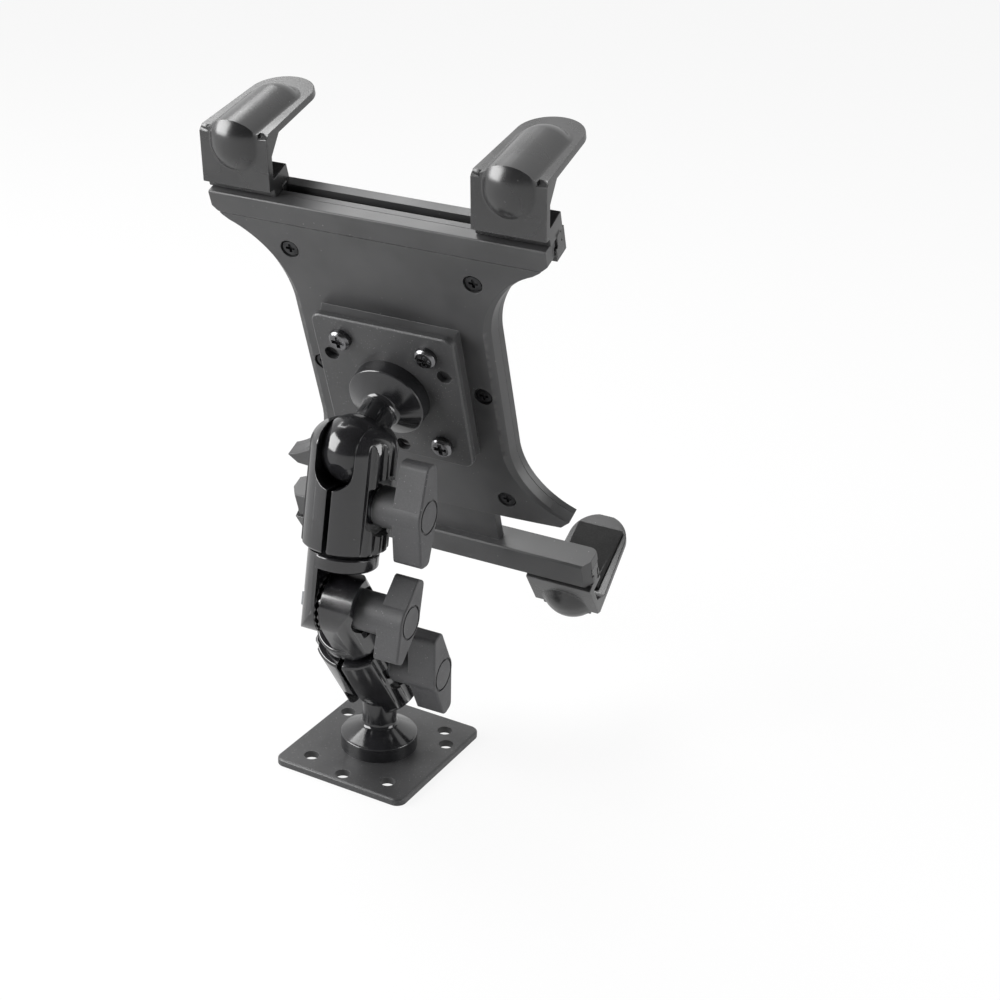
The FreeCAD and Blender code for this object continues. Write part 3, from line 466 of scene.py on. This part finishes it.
def edge_rub_and_highlight_group():
    """Where edges are rubbed and where a highlight is painted along them: a mask near hard edges, broken up
    by noise.
    """
    name = "Edge Rub"
    if name in bpy.data.node_groups:
        return bpy.data.node_groups[name]
    group, start, end = new_group(
        name,
        [("Vector", "NodeSocketVector", None), ("Breakup", "NodeSocketFloat", 400.0)],
        [("Mask", "NodeSocketFloat")])
    bevel = group.nodes.new("ShaderNodeBevel")
    bevel.samples = RUB_AND_HIGHLIGHT_SAMPLES
    bevel.inputs["Radius"].default_value = RUB_AND_HIGHLIGHT_RADIUS
    geometry = group.nodes.new("ShaderNodeNewGeometry")
    turn = group.nodes.new("ShaderNodeVectorMath")
    turn.operation = "DOT_PRODUCT"
    noise = group.nodes.new("ShaderNodeTexNoise")
    links = group.links
    links.new(bevel.outputs["Normal"], turn.inputs[0])
    links.new(geometry.outputs["True Normal"], turn.inputs[1])
    near = ramp(group, RUB_AND_HIGHLIGHT_RAMP, turn.outputs["Value"])
    links.new(start.outputs["Vector"], noise.inputs["Vector"])
    links.new(start.outputs["Breakup"], noise.inputs["Scale"])
    patches = ramp(group, PATCH_RAMP, noise.outputs["Fac"])
    links.new(math_node(group, "MULTIPLY", near, patches), end.inputs["Mask"])
    return group


def streak_group():
    """Turning or brushing lines along one axis."""
    name = "Machined Lines"
    if name in bpy.data.node_groups:
        return bpy.data.node_groups[name]
    group, start, end = new_group(
        name,
        [("Vector", "NodeSocketVector", None), ("Stretch", "NodeSocketVector", (1.0, 1.0, 1.0))],
        [("Height", "NodeSocketFloat"), ("Tone", "NodeSocketFloat")])
    squeeze = group.nodes.new("ShaderNodeVectorMath")
    squeeze.operation = "MULTIPLY"
    noise = group.nodes.new("ShaderNodeTexNoise")
    noise.inputs["Scale"].default_value = 1.0
    noise.inputs["Detail"].default_value = LINE_DETAIL
    links = group.links
    links.new(start.outputs["Vector"], squeeze.inputs[0])
    links.new(start.outputs["Stretch"], squeeze.inputs[1])
    links.new(squeeze.outputs["Vector"], noise.inputs["Vector"])
    links.new(noise.outputs["Fac"], end.inputs["Height"])
    links.new(ramp(group, PATCH_RAMP, noise.outputs["Fac"]), end.inputs["Tone"])
    return group


# Finishes

class Finish:
    """A material under construction: its shader, its object coordinates and a few links."""

    def __init__(self, name, colour, roughness, metallic=0.0, gloss=0.5):
        self.material = bpy.data.materials.new(name)
        self.material.use_nodes = True
        self.tree = self.material.node_tree
        self.shader = self.tree.nodes["Principled BSDF"]
        self.shader.inputs["Base Color"].default_value = (*colour, 1.0)
        self.shader.inputs["Roughness"].default_value = roughness
        self.shader.inputs["Metallic"].default_value = metallic
        self.shader.inputs["Specular IOR Level"].default_value = gloss
        self.place = self.tree.nodes.new("ShaderNodeTexCoord").outputs["Object"]

    def group(self, tree, **values):
        """Adds a shared group with its own values, reading object coordinates."""
        node = self.tree.nodes.new("ShaderNodeGroup")
        node.node_tree = tree
        self.tree.links.new(self.place, node.inputs["Vector"])
        for label, value in values.items():
            node.inputs[label.replace("_", " ")].default_value = value
        return node.outputs

    def blend(self, base, other, mask):
        """Mixes two colours by a mask; each colour is a socket or three numbers."""
        node = self.tree.nodes.new("ShaderNodeMix")
        node.data_type = "RGBA"
        for socket, value in ((node.inputs[MIX_FIRST], base), (node.inputs[MIX_SECOND], other)):
            if isinstance(value, bpy.types.NodeSocket):
                self.tree.links.new(value, socket)
            else:
                socket.default_value = (*value, 1.0)
        self.tree.links.new(mask, node.inputs[MIX_FACTOR])
        return node.outputs[MIX_RESULT]

    def scaled(self, mask, share):
        """A mask made weaker."""
        return math_node(self.tree, "MULTIPLY", mask, share)

    def colour(self, source):
        """Takes the base colour from a socket."""
        self.tree.links.new(source, self.shader.inputs["Base Color"])

    def roughness(self, source, low, high):
        """Roughness that runs from low to high with a mask."""
        node = self.tree.nodes.new("ShaderNodeMapRange")
        node.inputs["To Min"].default_value = low
        node.inputs["To Max"].default_value = high
        self.tree.links.new(source, node.inputs["Value"])
        self.tree.links.new(node.outputs["Result"], self.shader.inputs["Roughness"])

    def bump(self, height, depth, strength):
        """Bump of a real depth in metres."""
        node = self.tree.nodes.new("ShaderNodeBump")
        node.inputs["Strength"].default_value = strength
        node.inputs["Distance"].default_value = depth
        self.tree.links.new(height, node.inputs["Height"])
        self.tree.links.new(node.outputs["Normal"], self.shader.inputs["Normal"])


def lighter(colour, times):
    """The same colour, some times as bright."""
    return tuple(min(1.0, part * times) for part in colour)


def once(make):
    """Makes a material the first time that it is asked for."""
    made = []

    def get():
        if not made:
            made.append(make())
        return made[0]
    return get


def colours():
    """The colours that the user sets in the sidebar."""
    return bpy.context.scene.mount_colours


@once
def powder_coat():
    """Fine-textured black powder coat with rubbed edges and a highlight painted along its edges."""
    base = tuple(colours().powder)
    finish = Finish("powder_coat", base, roughness=0.42, gloss=0.7)
    grain = finish.group(grain_group(), Scale=2600.0, Cloud_Scale=90.0)
    specks = finish.group(speck_group(), Scale=2200.0, Share=0.10, Size=0.33)
    rub_and_highlight = finish.group(edge_rub_and_highlight_group(), Breakup=500.0)
    tone = finish.blend(base, lighter(base, times=1.7), grain["Height"])
    tone = finish.blend(tone, lighter(base, times=6.0), specks["Mask"])
    # Edges paler where rubbed, and a painted highlight along them.
    finish.colour(finish.blend(tone, tuple(colours().worn_and_highlight), finish.scaled(rub_and_highlight["Mask"], share=0.7)))
    finish.roughness(grain["Tone"], low=0.36, high=0.5)
    finish.bump(grain["Height"], depth=0.05 * MM, strength=0.7)
    return finish.material


@once
def ball_coating():
    """Smooth glossy black coating on turned steel."""
    base = tuple(colours().coating)
    finish = Finish("ball_coating", base, roughness=0.13, gloss=0.8)
    grain = finish.group(grain_group(), Scale=900.0, Cloud_Scale=120.0)
    rub_and_highlight = finish.group(edge_rub_and_highlight_group(), Breakup=700.0)
    tone = finish.blend(base, lighter(base, times=1.8), grain["Tone"])
    # Edges paler where rubbed, and a painted highlight along them.
    finish.colour(finish.blend(tone, tuple(colours().worn_and_highlight), finish.scaled(rub_and_highlight["Mask"], share=0.35)))
    finish.roughness(grain["Tone"], low=0.10, high=0.17)
    finish.bump(grain["Height"], depth=0.01 * MM, strength=0.35)
    return finish.material


@once
def enamel():
    """Glossy black enamel on castings, with the casting's soft ripple below."""
    base = tuple(colours().enamel)
    finish = Finish("black_gloss_enamel", base, roughness=0.2, gloss=0.9)
    grain = finish.group(grain_group(), Scale=700.0, Cloud_Scale=150.0)
    specks = finish.group(speck_group(), Scale=1200.0, Share=0.015, Size=0.2)
    rub_and_highlight = finish.group(edge_rub_and_highlight_group(), Breakup=600.0)
    tone = finish.blend(base, lighter(base, times=1.8), grain["Tone"])
    tone = finish.blend(tone, tuple(colours().worn_and_highlight), specks["Mask"])
    # Edges paler where rubbed, and a painted highlight along them.
    finish.colour(finish.blend(tone, tuple(colours().worn_and_highlight), finish.scaled(rub_and_highlight["Mask"], share=0.5)))
    finish.roughness(grain["Tone"], low=0.15, high=0.24)
    finish.bump(grain["Height"], depth=0.015 * MM, strength=0.5)
    finish.shader.inputs["Coat Roughness"].default_value = 0.08
    finish.shader.inputs["Coat Weight"].default_value = 0.35
    return finish.material


@once
def knob_plastic():
    """Dark grey plastic with glass in it: matt, finely grained, paler along its edges where it is rubbed and
    where a highlight is painted.
    """
    base = tuple(colours().knob)
    finish = Finish("knob_plastic", base, roughness=0.5)
    grain = finish.group(grain_group(), Scale=2200.0, Cloud_Scale=110.0)
    specks = finish.group(speck_group(), Scale=1700.0, Share=0.06, Size=0.28)
    rub_and_highlight = finish.group(edge_rub_and_highlight_group(), Breakup=500.0)
    tone = finish.blend(base, lighter(base, times=1.6), grain["Height"])
    tone = finish.blend(tone, lighter(base, times=4.0), specks["Mask"])
    # Edges paler where rubbed, and a painted highlight along them.
    finish.colour(finish.blend(tone, tuple(colours().worn_and_highlight), finish.scaled(rub_and_highlight["Mask"], share=0.8)))
    finish.roughness(grain["Tone"], low=0.42, high=0.56)
    finish.bump(grain["Height"], depth=0.05 * MM, strength=0.6)
    return finish.material


@once
def shell_plastic():
    """Satin black moulded plastic with a fine spark-eroded texture and stray bright specks."""
    base = tuple(colours().shell)
    finish = Finish("shell_plastic", base, roughness=0.42, gloss=0.6)
    grain = finish.group(grain_group(), Scale=2400.0, Cloud_Scale=40.0)
    specks = finish.group(speck_group(), Scale=1000.0, Share=0.02, Size=0.22)
    rub_and_highlight = finish.group(edge_rub_and_highlight_group(), Breakup=400.0)
    tone = finish.blend(base, lighter(base, times=1.5), grain["Tone"])
    tone = finish.blend(tone, tuple(colours().worn_and_highlight), specks["Mask"])
    # Edges paler where rubbed, and a painted highlight along them.
    finish.colour(finish.blend(tone, tuple(colours().worn_and_highlight), finish.scaled(rub_and_highlight["Mask"], share=0.5)))
    finish.roughness(grain["Tone"], low=0.34, high=0.46)
    finish.bump(grain["Height"], depth=0.035 * MM, strength=0.55)
    return finish.material


@once
def claw_plastic():
    """Satin dark plastic, smoother and darker than the shells."""
    base = tuple(colours().claw)
    finish = Finish("claw_plastic", base, roughness=0.28, gloss=0.9)
    grain = finish.group(grain_group(), Scale=2000.0, Cloud_Scale=50.0)
    specks = finish.group(speck_group(), Scale=1100.0, Share=0.015, Size=0.22)
    rub_and_highlight = finish.group(edge_rub_and_highlight_group(), Breakup=400.0)
    tone = finish.blend(base, lighter(base, times=1.5), grain["Tone"])
    tone = finish.blend(tone, tuple(colours().worn_and_highlight), specks["Mask"])
    # Edges paler where rubbed, and a painted highlight along them.
    finish.colour(finish.blend(tone, tuple(colours().worn_and_highlight), finish.scaled(rub_and_highlight["Mask"], share=0.5)))
    finish.roughness(grain["Tone"], low=0.22, high=0.32)
    finish.bump(grain["Height"], depth=0.03 * MM, strength=0.4)
    return finish.material


@once
def soft_rubber():
    """Matt rubber with a fine tooth."""
    base = tuple(colours().rubber)
    finish = Finish("soft_rubber_pad", base, roughness=0.8)
    grain = finish.group(grain_group(), Scale=1600.0, Cloud_Scale=80.0)
    finish.colour(finish.blend(base, lighter(base, times=1.8), grain["Tone"]))
    finish.roughness(grain["Height"], low=0.7, high=0.9)
    finish.bump(grain["Height"], depth=0.08 * MM, strength=0.8)
    return finish.material


@once
def zinc_plate():
    """Bright zinc on steel with fine machined lines."""
    base = tuple(colours().zinc)
    finish = Finish("zinc_plate", base, roughness=0.3, metallic=1.0)
    lines = finish.group(streak_group(), Stretch=(600.0, 5000.0, 5000.0))
    rub_and_highlight = finish.group(edge_rub_and_highlight_group(), Breakup=500.0)
    tone = finish.blend(base, lighter(base, times=0.7), lines["Tone"])
    # Edges brighter where rubbed, and a painted highlight along them.
    finish.colour(finish.blend(tone, lighter(base, times=1.4), finish.scaled(rub_and_highlight["Mask"], share=0.6)))
    finish.roughness(lines["Tone"], low=0.24, high=0.38)
    finish.bump(lines["Height"], depth=0.02 * MM, strength=0.4)
    return finish.material


@once
def turned_brass():
    """Turned brass with fine lines round its axis."""
    base = tuple(colours().brass)
    finish = Finish("turned_brass", base, roughness=0.3, metallic=1.0)
    lines = finish.group(streak_group(), Stretch=(6000.0, 300.0, 300.0))
    finish.colour(finish.blend(base, lighter(base, times=0.7), lines["Tone"]))
    finish.roughness(lines["Tone"], low=0.22, high=0.36)
    finish.bump(lines["Height"], depth=0.02 * MM, strength=0.4)
    return finish.material


@once
def black_oxide():
    """Black oxide on steel screws, rubbed bright on its edges, with a highlight painted along them."""
    base = tuple(colours().oxide)
    finish = Finish("black_oxide", base, roughness=0.28, metallic=1.0)
    grain = finish.group(grain_group(), Scale=1500.0, Cloud_Scale=300.0)
    rub_and_highlight = finish.group(edge_rub_and_highlight_group(), Breakup=900.0)
    tone = finish.blend(base, lighter(base, times=1.6), grain["Tone"])
    # Edges brighter where rubbed, and a painted highlight along them.
    finish.colour(finish.blend(tone, lighter(base, times=3.0), finish.scaled(rub_and_highlight["Mask"], share=0.6)))
    finish.roughness(grain["Tone"], low=0.2, high=0.34)
    finish.bump(grain["Height"], depth=0.01 * MM, strength=0.4)
    return finish.material


@once
def sunk_screw():
    """Black screw heads deep in their wells, painted darker than the other black screws as shade from the
    wells.
    """
    # Painted shade: the black oxide colour at 0.3 of its brightness, for screws that sit in dark wells.
    base = lighter(tuple(colours().oxide), times=0.3)
    finish = Finish("sunk_screw", base, roughness=0.36, metallic=1.0)
    grain = finish.group(grain_group(), Scale=1500.0, Cloud_Scale=300.0)
    rub_and_highlight = finish.group(edge_rub_and_highlight_group(), Breakup=900.0)
    tone = finish.blend(base, lighter(base, times=1.6), grain["Tone"])
    # Edges brighter where rubbed, and a painted highlight along them.
    finish.colour(finish.blend(tone, lighter(base, times=3.0), finish.scaled(rub_and_highlight["Mask"], share=0.5)))
    finish.roughness(grain["Tone"], low=0.28, high=0.44)
    finish.bump(grain["Height"], depth=0.01 * MM, strength=0.4)
    return finish.material


FINISHES = {
    "black_powder_coat": powder_coat,
    "black_coated_ball": ball_coating,
    "black_enamel": enamel,
    "brass": turned_brass,
    "grey_knob_plastic": knob_plastic,
    "zinc_steel": zinc_plate,
    "black_steel_screw": black_oxide,
    "soft_rubber": soft_rubber,
    "satin_claw_plastic": claw_plastic,
    "black_holder_plastic": shell_plastic,
}


# Pieces

def edges():
    """The edge widths that the user sets in the sidebar."""
    return bpy.context.scene.mount_edges


class MOUNT_OT_plates(bpy.types.Operator):
    """Finish the base plate and the holder's plate"""
    bl_idname = "mount.plates"
    bl_label = "Plates"

    def execute(self, context):
        finish_nodes(("base_plate", "adapter_plate"), edges().plate)
        return {"FINISHED"}


def turned_ball(name, joint):
    """The ball piece of a joint: foot, cone, neck and ball turned in one."""
    spin = joint_named(joint)
    axis = Vector(spin["axis"])
    rings = [(radius * MM, height * MM) for radius, height in BALL_FOOT]
    low = math.asin(BALL_NECK / BALL_RADIUS)
    high = math.pi - math.asin(BALL_FLAT / BALL_RADIUS)
    for step in range(BALL_STEPS + 1):
        angle = low + (high - low) * step / BALL_STEPS
        rings.append((BALL_RADIUS * MM * math.sin(angle), (BALL_HEIGHT - BALL_RADIUS * math.cos(angle)) * MM))
    piece = ring_stack(rings)
    piece.name = name + "_finished"
    foot = Vector(spin["pos_m"]) - axis * BALL_HEIGHT * MM
    put(piece, Matrix.Translation(foot) @ axis.to_track_quat("Z", "Y").to_matrix().to_4x4())
    shade(piece)
    return piece


class MOUNT_OT_balls(bpy.types.Operator):
    """Turn and finish the two ball pieces"""
    bl_idname = "mount.balls"
    bl_label = "Ball pieces"

    def execute(self, context):
        for name, joint in (("base_ball", "base_spin"), ("holder_ball", "holder_spin")):
            finished(turned_ball(name, joint), name)
        return {"FINISHED"}


class MOUNT_OT_sockets(bpy.types.Operator):
    """Finish the fluted half shells that clamp the balls"""
    bl_idname = "mount.sockets"
    bl_label = "Sockets"

    def execute(self, context):
        finish_nodes([f"{arm}_socket_{side}" for arm in ARMS for side in SIDES], edges().casting)
        return {"FINISHED"}


class MOUNT_OT_knuckles(bpy.types.Operator):
    """Finish the two toothed halves of the elbow"""
    bl_idname = "mount.knuckles"
    bl_label = "Knuckles"

    def execute(self, context):
        finish_nodes([f"{arm}_knuckle" for arm in ARMS], edges().casting)
        return {"FINISHED"}


class MOUNT_OT_knobs(bpy.types.Operator):
    """Finish the three winged knobs"""
    bl_idname = "mount.knobs"
    bl_label = "Knobs"

    def execute(self, context):
        for name in ("lower_knob", "elbow_knob", "upper_knob"):
            coat(frame["nodes"][name].data, knob_plastic())
        return {"FINISHED"}


class MOUNT_OT_fasteners(bpy.types.Operator):
    """Finish the bolts, washers, inserts and screws"""
    bl_idname = "mount.fasteners"
    bl_label = "Fasteners"

    def execute(self, context):
        names = [name for name in frame["nodes"]
                 if any(kind in name for kind in ("bolt", "washer", "insert", "screw"))]
        finish_nodes(sorted(names), edges().fastener)
        # The cover screws sit in wells and get a darker copy of the screw finish, as painted shade.
        coat(bpy.data.objects["cover_screws_finished"].data, sunk_screw())
        return {"FINISHED"}


class MOUNT_OT_shells(bpy.types.Operator):
    """Finish the holder's cover and tray"""
    bl_idname = "mount.shells"
    bl_label = "Holder shells"

    def execute(self, context):
        finish_nodes(("back_cover", "front_tray"), edges().shell)
        return {"FINISHED"}


class MOUNT_OT_slider(bpy.types.Operator):
    """Finish the sliding lower bar"""
    bl_idname = "mount.slider"
    bl_label = "Sliding bar"

    def execute(self, context):
        finish_nodes(("slider_bar",), edges().shell)
        return {"FINISHED"}


def swelling_rings(size, depth):
    """Rings as (radius, height) of a rounded swelling with a filleted foot and a skirt below it."""
    radius, rise, fillet = (part * MM for part in size)
    core = radius - rise
    reach = math.sqrt((radius + fillet) ** 2 - (core + fillet) ** 2)
    turn = math.atan2(reach, core + fillet)
    rings = [(reach, -depth)]
    for step in range(FOOT_STEPS):
        angle = turn * step / FOOT_STEPS
        rings.append((reach - fillet * math.sin(angle), fillet - fillet * math.cos(angle)))
    for step in range(CROWN_STEPS):
        angle = turn * (1 - step / CROWN_STEPS)
        rings.append((radius * math.sin(angle), radius * math.cos(angle) - core))
    return rings


def swelling(size, depth, ends, place):
    """A swelling stretched between two ends along its own Y, put where the matrix says."""
    low, high = ends
    piece = ring_stack(swelling_rings(size, depth))
    bpy.ops.transform.translate(value=(0, low, 0))
    select_points(piece, lambda point: point.y > low + MERGE_DISTANCE)
    bpy.ops.transform.translate(value=(0, high - low, 0))
    for cut in range(1, STRETCH_CUTS):
        bpy.ops.mesh.select_all(action="SELECT")
        bpy.ops.mesh.bisect(plane_co=(0, low + (high - low) * cut / STRETCH_CUTS, 0), plane_no=(0, 1, 0))
    put(piece, place)
    return piece


def claw_places(node, end):
    """Matrices on a claw's outer corner: on its tongue, with Y along it, and on its wall, with Y up it."""
    turned = 1 if end == "top" else -1
    across = Vector(joint_named("claw_top_right_travel")["axis"]) * turned
    along = Vector(joint_named("slider_travel")["axis"]) * -turned
    back = across.cross(along)
    up = along * math.cos(TONGUE_SLOPE) - back * math.sin(TONGUE_SLOPE)
    out = along * math.sin(WALL_LEAN) + back * math.cos(WALL_LEAN)
    points = [vertex.co for vertex in node.data.vertices]
    sideways = [point.dot(across) for point in points]
    height = max(point.dot(up) for point in points) - TONGUE_RIB
    depth = max(point.dot(out) for point in points) - WALL_RIB
    closeness = up.dot(out)
    share = 1 - closeness ** 2
    corner = across * (min(sideways) + max(sideways)) / 2
    corner += up * (height - closeness * depth) / share + out * (depth - closeness * height) / share
    frames = []
    for normal in (up, out):
        turn = Matrix((across, normal.cross(across), normal)).transposed()
        frames.append(Matrix.Translation(corner) @ turn.to_4x4())
    return frames


def shaped_claw(name, end):
    """A claw with the filleted rib along its tongue and the full knuckle on its wall."""
    tongue, wall = claw_places(frame["nodes"][name], end)
    corner = tongue.translation
    up, out, down = tongue.col[2].xyz, wall.col[2].xyz, -wall.col[1].xyz
    rib_ends = (-RIB_PAST * MM, RIB_LENGTH * MM)
    knuckle_ends = (-KNUCKLE_LOW * MM, -KNUCKLE_HIGH * MM)
    piece = copy_of(name)
    cut_off(piece, corner + down * CORNER_CUT * MM, (up + out).normalized())
    round_edges(piece, edges().claw, EDGE_STEPS, SQUARE_ANGLE)
    rib = swelling(RIB, RIB_SKIRT * MM, rib_ends, tongue)
    cut_off(rib, corner, out)
    combined(piece, rib, "UNION")
    knuckle = swelling(KNUCKLE, KNUCKLE_SKIRT * MM, knuckle_ends, wall)
    combined(knuckle, swelling(RIB, ENVELOPE_SKIRT * MM, rib_ends, tongue), "INTERSECT")
    combined(piece, knuckle, "UNION")
    merge_points(piece)
    shade(piece)
    return piece


class MOUNT_OT_claws(bpy.types.Operator):
    """Shape and finish the four claws and finish their soft grips"""
    bl_idname = "mount.claws"
    bl_label = "Claws"

    def execute(self, context):
        for end in ENDS:
            for side in SIDES:
                name = f"claw_{end}_{side}"
                finished(shaped_claw(name, end), name)
        finish_nodes([f"grip_{end}_{side}" for end in ENDS for side in SIDES], edges().grip, GRIP_STEPS)
        return {"FINISHED"}


# Stage

# Where the camera stood, in metres, how it was turned, in degrees, and the point that the light panels face.
CAMERA_PLACE = (0.28663, -0.47320, 0.34652)
CAMERA_TURN = (67.333, -1.493, 30.248)
CAMERA_SHIFT = (0.068, -0.060)
SENSOR = 36.0
LOOK_AT = (0.0, 0.0, 0.11)

# The backdrop stands behind the object; its edge is soft between these two parts of a turn.
BACKDROP_TOWARDS = (-0.50, 0.86, 0.10)
BACKDROP_EDGE = (0.12, 0.45)

# The floor's rim as a share of its radius, and its roughness.
FLOOR_RIM = 0.02
FLOOR_ROUGHNESS = 0.9

# How much of the floor's own white the camera sees over its lit colour, and the grey that gloss sees.
FLOOR_GLOW = 0.88
FLOOR_MIRRORED = 0.9
MIRRORED_GREY = 0.7

# Panels of light: name, place, width and height in metres, power's name
PANELS = (
    ("left_panel", (-0.68, -0.56, 0.44), (0.75, 0.62), "key_power"),
    ("right_panel", (0.82, 0.22, 0.30), (0.40, 0.6), "side_power"),
    ("upper_panel", (-0.48, 0.22, 0.90), (0.55, 0.45), "rear_power"),
)


def floor_material():
    """Pale floor that keeps the shadow and is white where nothing shades it."""
    material = bpy.data.materials.new("pale_floor")
    material.use_nodes = True
    tree = material.node_tree
    shader = tree.nodes["Principled BSDF"]
    shader.inputs["Base Color"].default_value = (*colours().floor, 1.0)
    shader.inputs["Roughness"].default_value = FLOOR_ROUGHNESS
    shader.inputs["Specular IOR Level"].default_value = 0.0
    glow = tree.nodes.new("ShaderNodeEmission")
    mix = tree.nodes.new("ShaderNodeMixShader")
    path = tree.nodes.new("ShaderNodeLightPath")
    tone = tree.nodes.new("ShaderNodeMapRange")
    tone.inputs["To Min"].default_value = 1.0
    tone.inputs["To Max"].default_value = MIRRORED_GREY
    tree.links.new(path.outputs["Is Glossy Ray"], tone.inputs["Value"])
    tree.links.new(tone.outputs["Result"], glow.inputs["Strength"])
    seen = math_node(tree, "MAXIMUM", path.outputs["Is Camera Ray"], path.outputs["Is Transmission Ray"])
    mirrored = math_node(tree, "MULTIPLY", path.outputs["Is Glossy Ray"], FLOOR_MIRRORED)
    share = math_node(tree, "MAXIMUM", math_node(tree, "MULTIPLY", seen, FLOOR_GLOW), mirrored)
    tree.links.new(share, mix.inputs["Fac"])
    tree.links.new(shader.outputs["BSDF"], mix.inputs[1])
    tree.links.new(glow.outputs["Emission"], mix.inputs[2])
    tree.links.new(mix.outputs["Shader"], tree.nodes["Material Output"].inputs["Surface"])
    return material


def make_world(strength):
    """White for the camera; for the object a white backdrop behind it and a dim room in front."""
    world = bpy.data.worlds.new("studio")
    bpy.context.scene.world = world
    world.use_nodes = True
    tree = world.node_tree
    background = tree.nodes["Background"]
    background.inputs["Color"].default_value = (1.0, 1.0, 1.0, 1.0)
    path = tree.nodes.new("ShaderNodeLightPath")
    seen = math_node(tree, "MAXIMUM", path.outputs["Is Camera Ray"], path.outputs["Is Transmission Ray"])
    towards = tree.nodes.new("ShaderNodeVectorMath")
    towards.operation = "DOT_PRODUCT"
    tree.links.new(tree.nodes.new("ShaderNodeTexCoord").outputs["Generated"], towards.inputs[0])
    towards.inputs[1].default_value = BACKDROP_TOWARDS
    backdrop = tree.nodes.new("ShaderNodeMapRange")
    backdrop.interpolation_type = "SMOOTHSTEP"
    backdrop.inputs["From Min"].default_value, backdrop.inputs["From Max"].default_value = BACKDROP_EDGE
    backdrop.inputs["To Min"].default_value = strength
    tree.links.new(towards.outputs["Value"], backdrop.inputs["Value"])
    level = math_node(tree, "MAXIMUM", seen, backdrop.outputs["Result"])
    tree.links.new(level, background.inputs["Strength"])


def make_floor(radius, points):
    """A round floor with a narrow rim."""
    deselect()
    bpy.ops.mesh.primitive_circle_add(vertices=points, radius=radius, fill_type="NGON", location=(0, 0, 0))
    floor = bpy.context.object
    floor.name = "floor"
    bpy.ops.object.mode_set(mode="EDIT")
    bpy.ops.mesh.select_all(action="SELECT")
    bpy.ops.mesh.inset(thickness=radius * FLOOR_RIM)
    bpy.ops.object.mode_set(mode="OBJECT")
    floor.data.materials.append(floor_material())


def make_panel(name, place, size, power):
    """One flat panel of light that faces the object."""
    lamp = bpy.data.lights.new(name, "AREA")
    lamp.shape = "RECTANGLE"
    lamp.size, lamp.size_y = size
    lamp.energy = power
    panel = bpy.data.objects.new(name, lamp)
    bpy.context.scene.collection.objects.link(panel)
    panel.location = place
    panel.rotation_euler = (Vector(LOOK_AT) - Vector(place)).to_track_quat("-Z", "Y").to_euler()


def make_camera(lens):
    """The camera, where it stood for the photograph."""
    data = bpy.data.cameras.new("camera")
    data.lens = lens
    data.sensor_width = SENSOR
    data.shift_x, data.shift_y = CAMERA_SHIFT
    camera = bpy.data.objects.new("camera", data)
    bpy.context.scene.collection.objects.link(camera)
    camera.location = CAMERA_PLACE
    camera.rotation_euler = Euler([math.radians(turn) for turn in CAMERA_TURN], "XYZ")
    bpy.context.scene.camera = camera


class MOUNT_OT_stage(bpy.types.Operator):
    """Set up the floor, the light and the camera"""
    bl_idname = "mount.stage"
    bl_label = "Stage"

    def execute(self, context):
        stage = context.scene.mount_stage
        make_floor(stage.floor_radius, stage.floor_points)
        make_world(stage.room)
        for name, place, size, power in PANELS:
            make_panel(name, place, size, getattr(stage, power))
        make_camera(stage.lens)
        context.scene.view_settings.view_transform = "Standard"
        return {"FINISHED"}


# Sidebar

OPERATORS = (
    MOUNT_OT_stage, MOUNT_OT_plates, MOUNT_OT_balls, MOUNT_OT_sockets, MOUNT_OT_knuckles,
    MOUNT_OT_knobs, MOUNT_OT_fasteners, MOUNT_OT_shells, MOUNT_OT_slider, MOUNT_OT_claws)


class MOUNT_PT_panel(bpy.types.Panel):
    """Steps that finish the tablet mount"""
    bl_idname = "MOUNT_PT_panel"
    bl_label = "Tablet Mount"
    bl_space_type = "VIEW_3D"
    bl_region_type = "UI"
    bl_category = "Mount"

    def draw(self, context):
        for group in ("mount_edges", "mount_colours", "mount_stage"):
            box = self.layout.box()
            settings = getattr(context.scene, group)
            for name in settings.bl_rna.properties.keys():
                if name not in ("rna_type", "name"):
                    box.prop(settings, name)
        for step in OPERATORS:
            self.layout.operator(step.bl_idname)


CLASSES = (EdgeSizes, FinishColours, StageSizes, *OPERATORS, MOUNT_PT_panel)


def register():
    for item in CLASSES:
        bpy.utils.register_class(item)
    bpy.types.Scene.mount_edges = PointerProperty(type=EdgeSizes)
    bpy.types.Scene.mount_colours = PointerProperty(type=FinishColours)
    bpy.types.Scene.mount_stage = PointerProperty(type=StageSizes)


def unregister():
    for name in ("mount_edges", "mount_colours", "mount_stage"):
        delattr(bpy.types.Scene, name)
    for item in reversed(CLASSES):
        bpy.utils.unregister_class(item)


def main():
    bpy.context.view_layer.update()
    register()
    for step in OPERATORS:
        group, name = step.bl_idname.split(".")
        getattr(getattr(bpy.ops, group), name)()


if __name__ == "__main__":
    main()
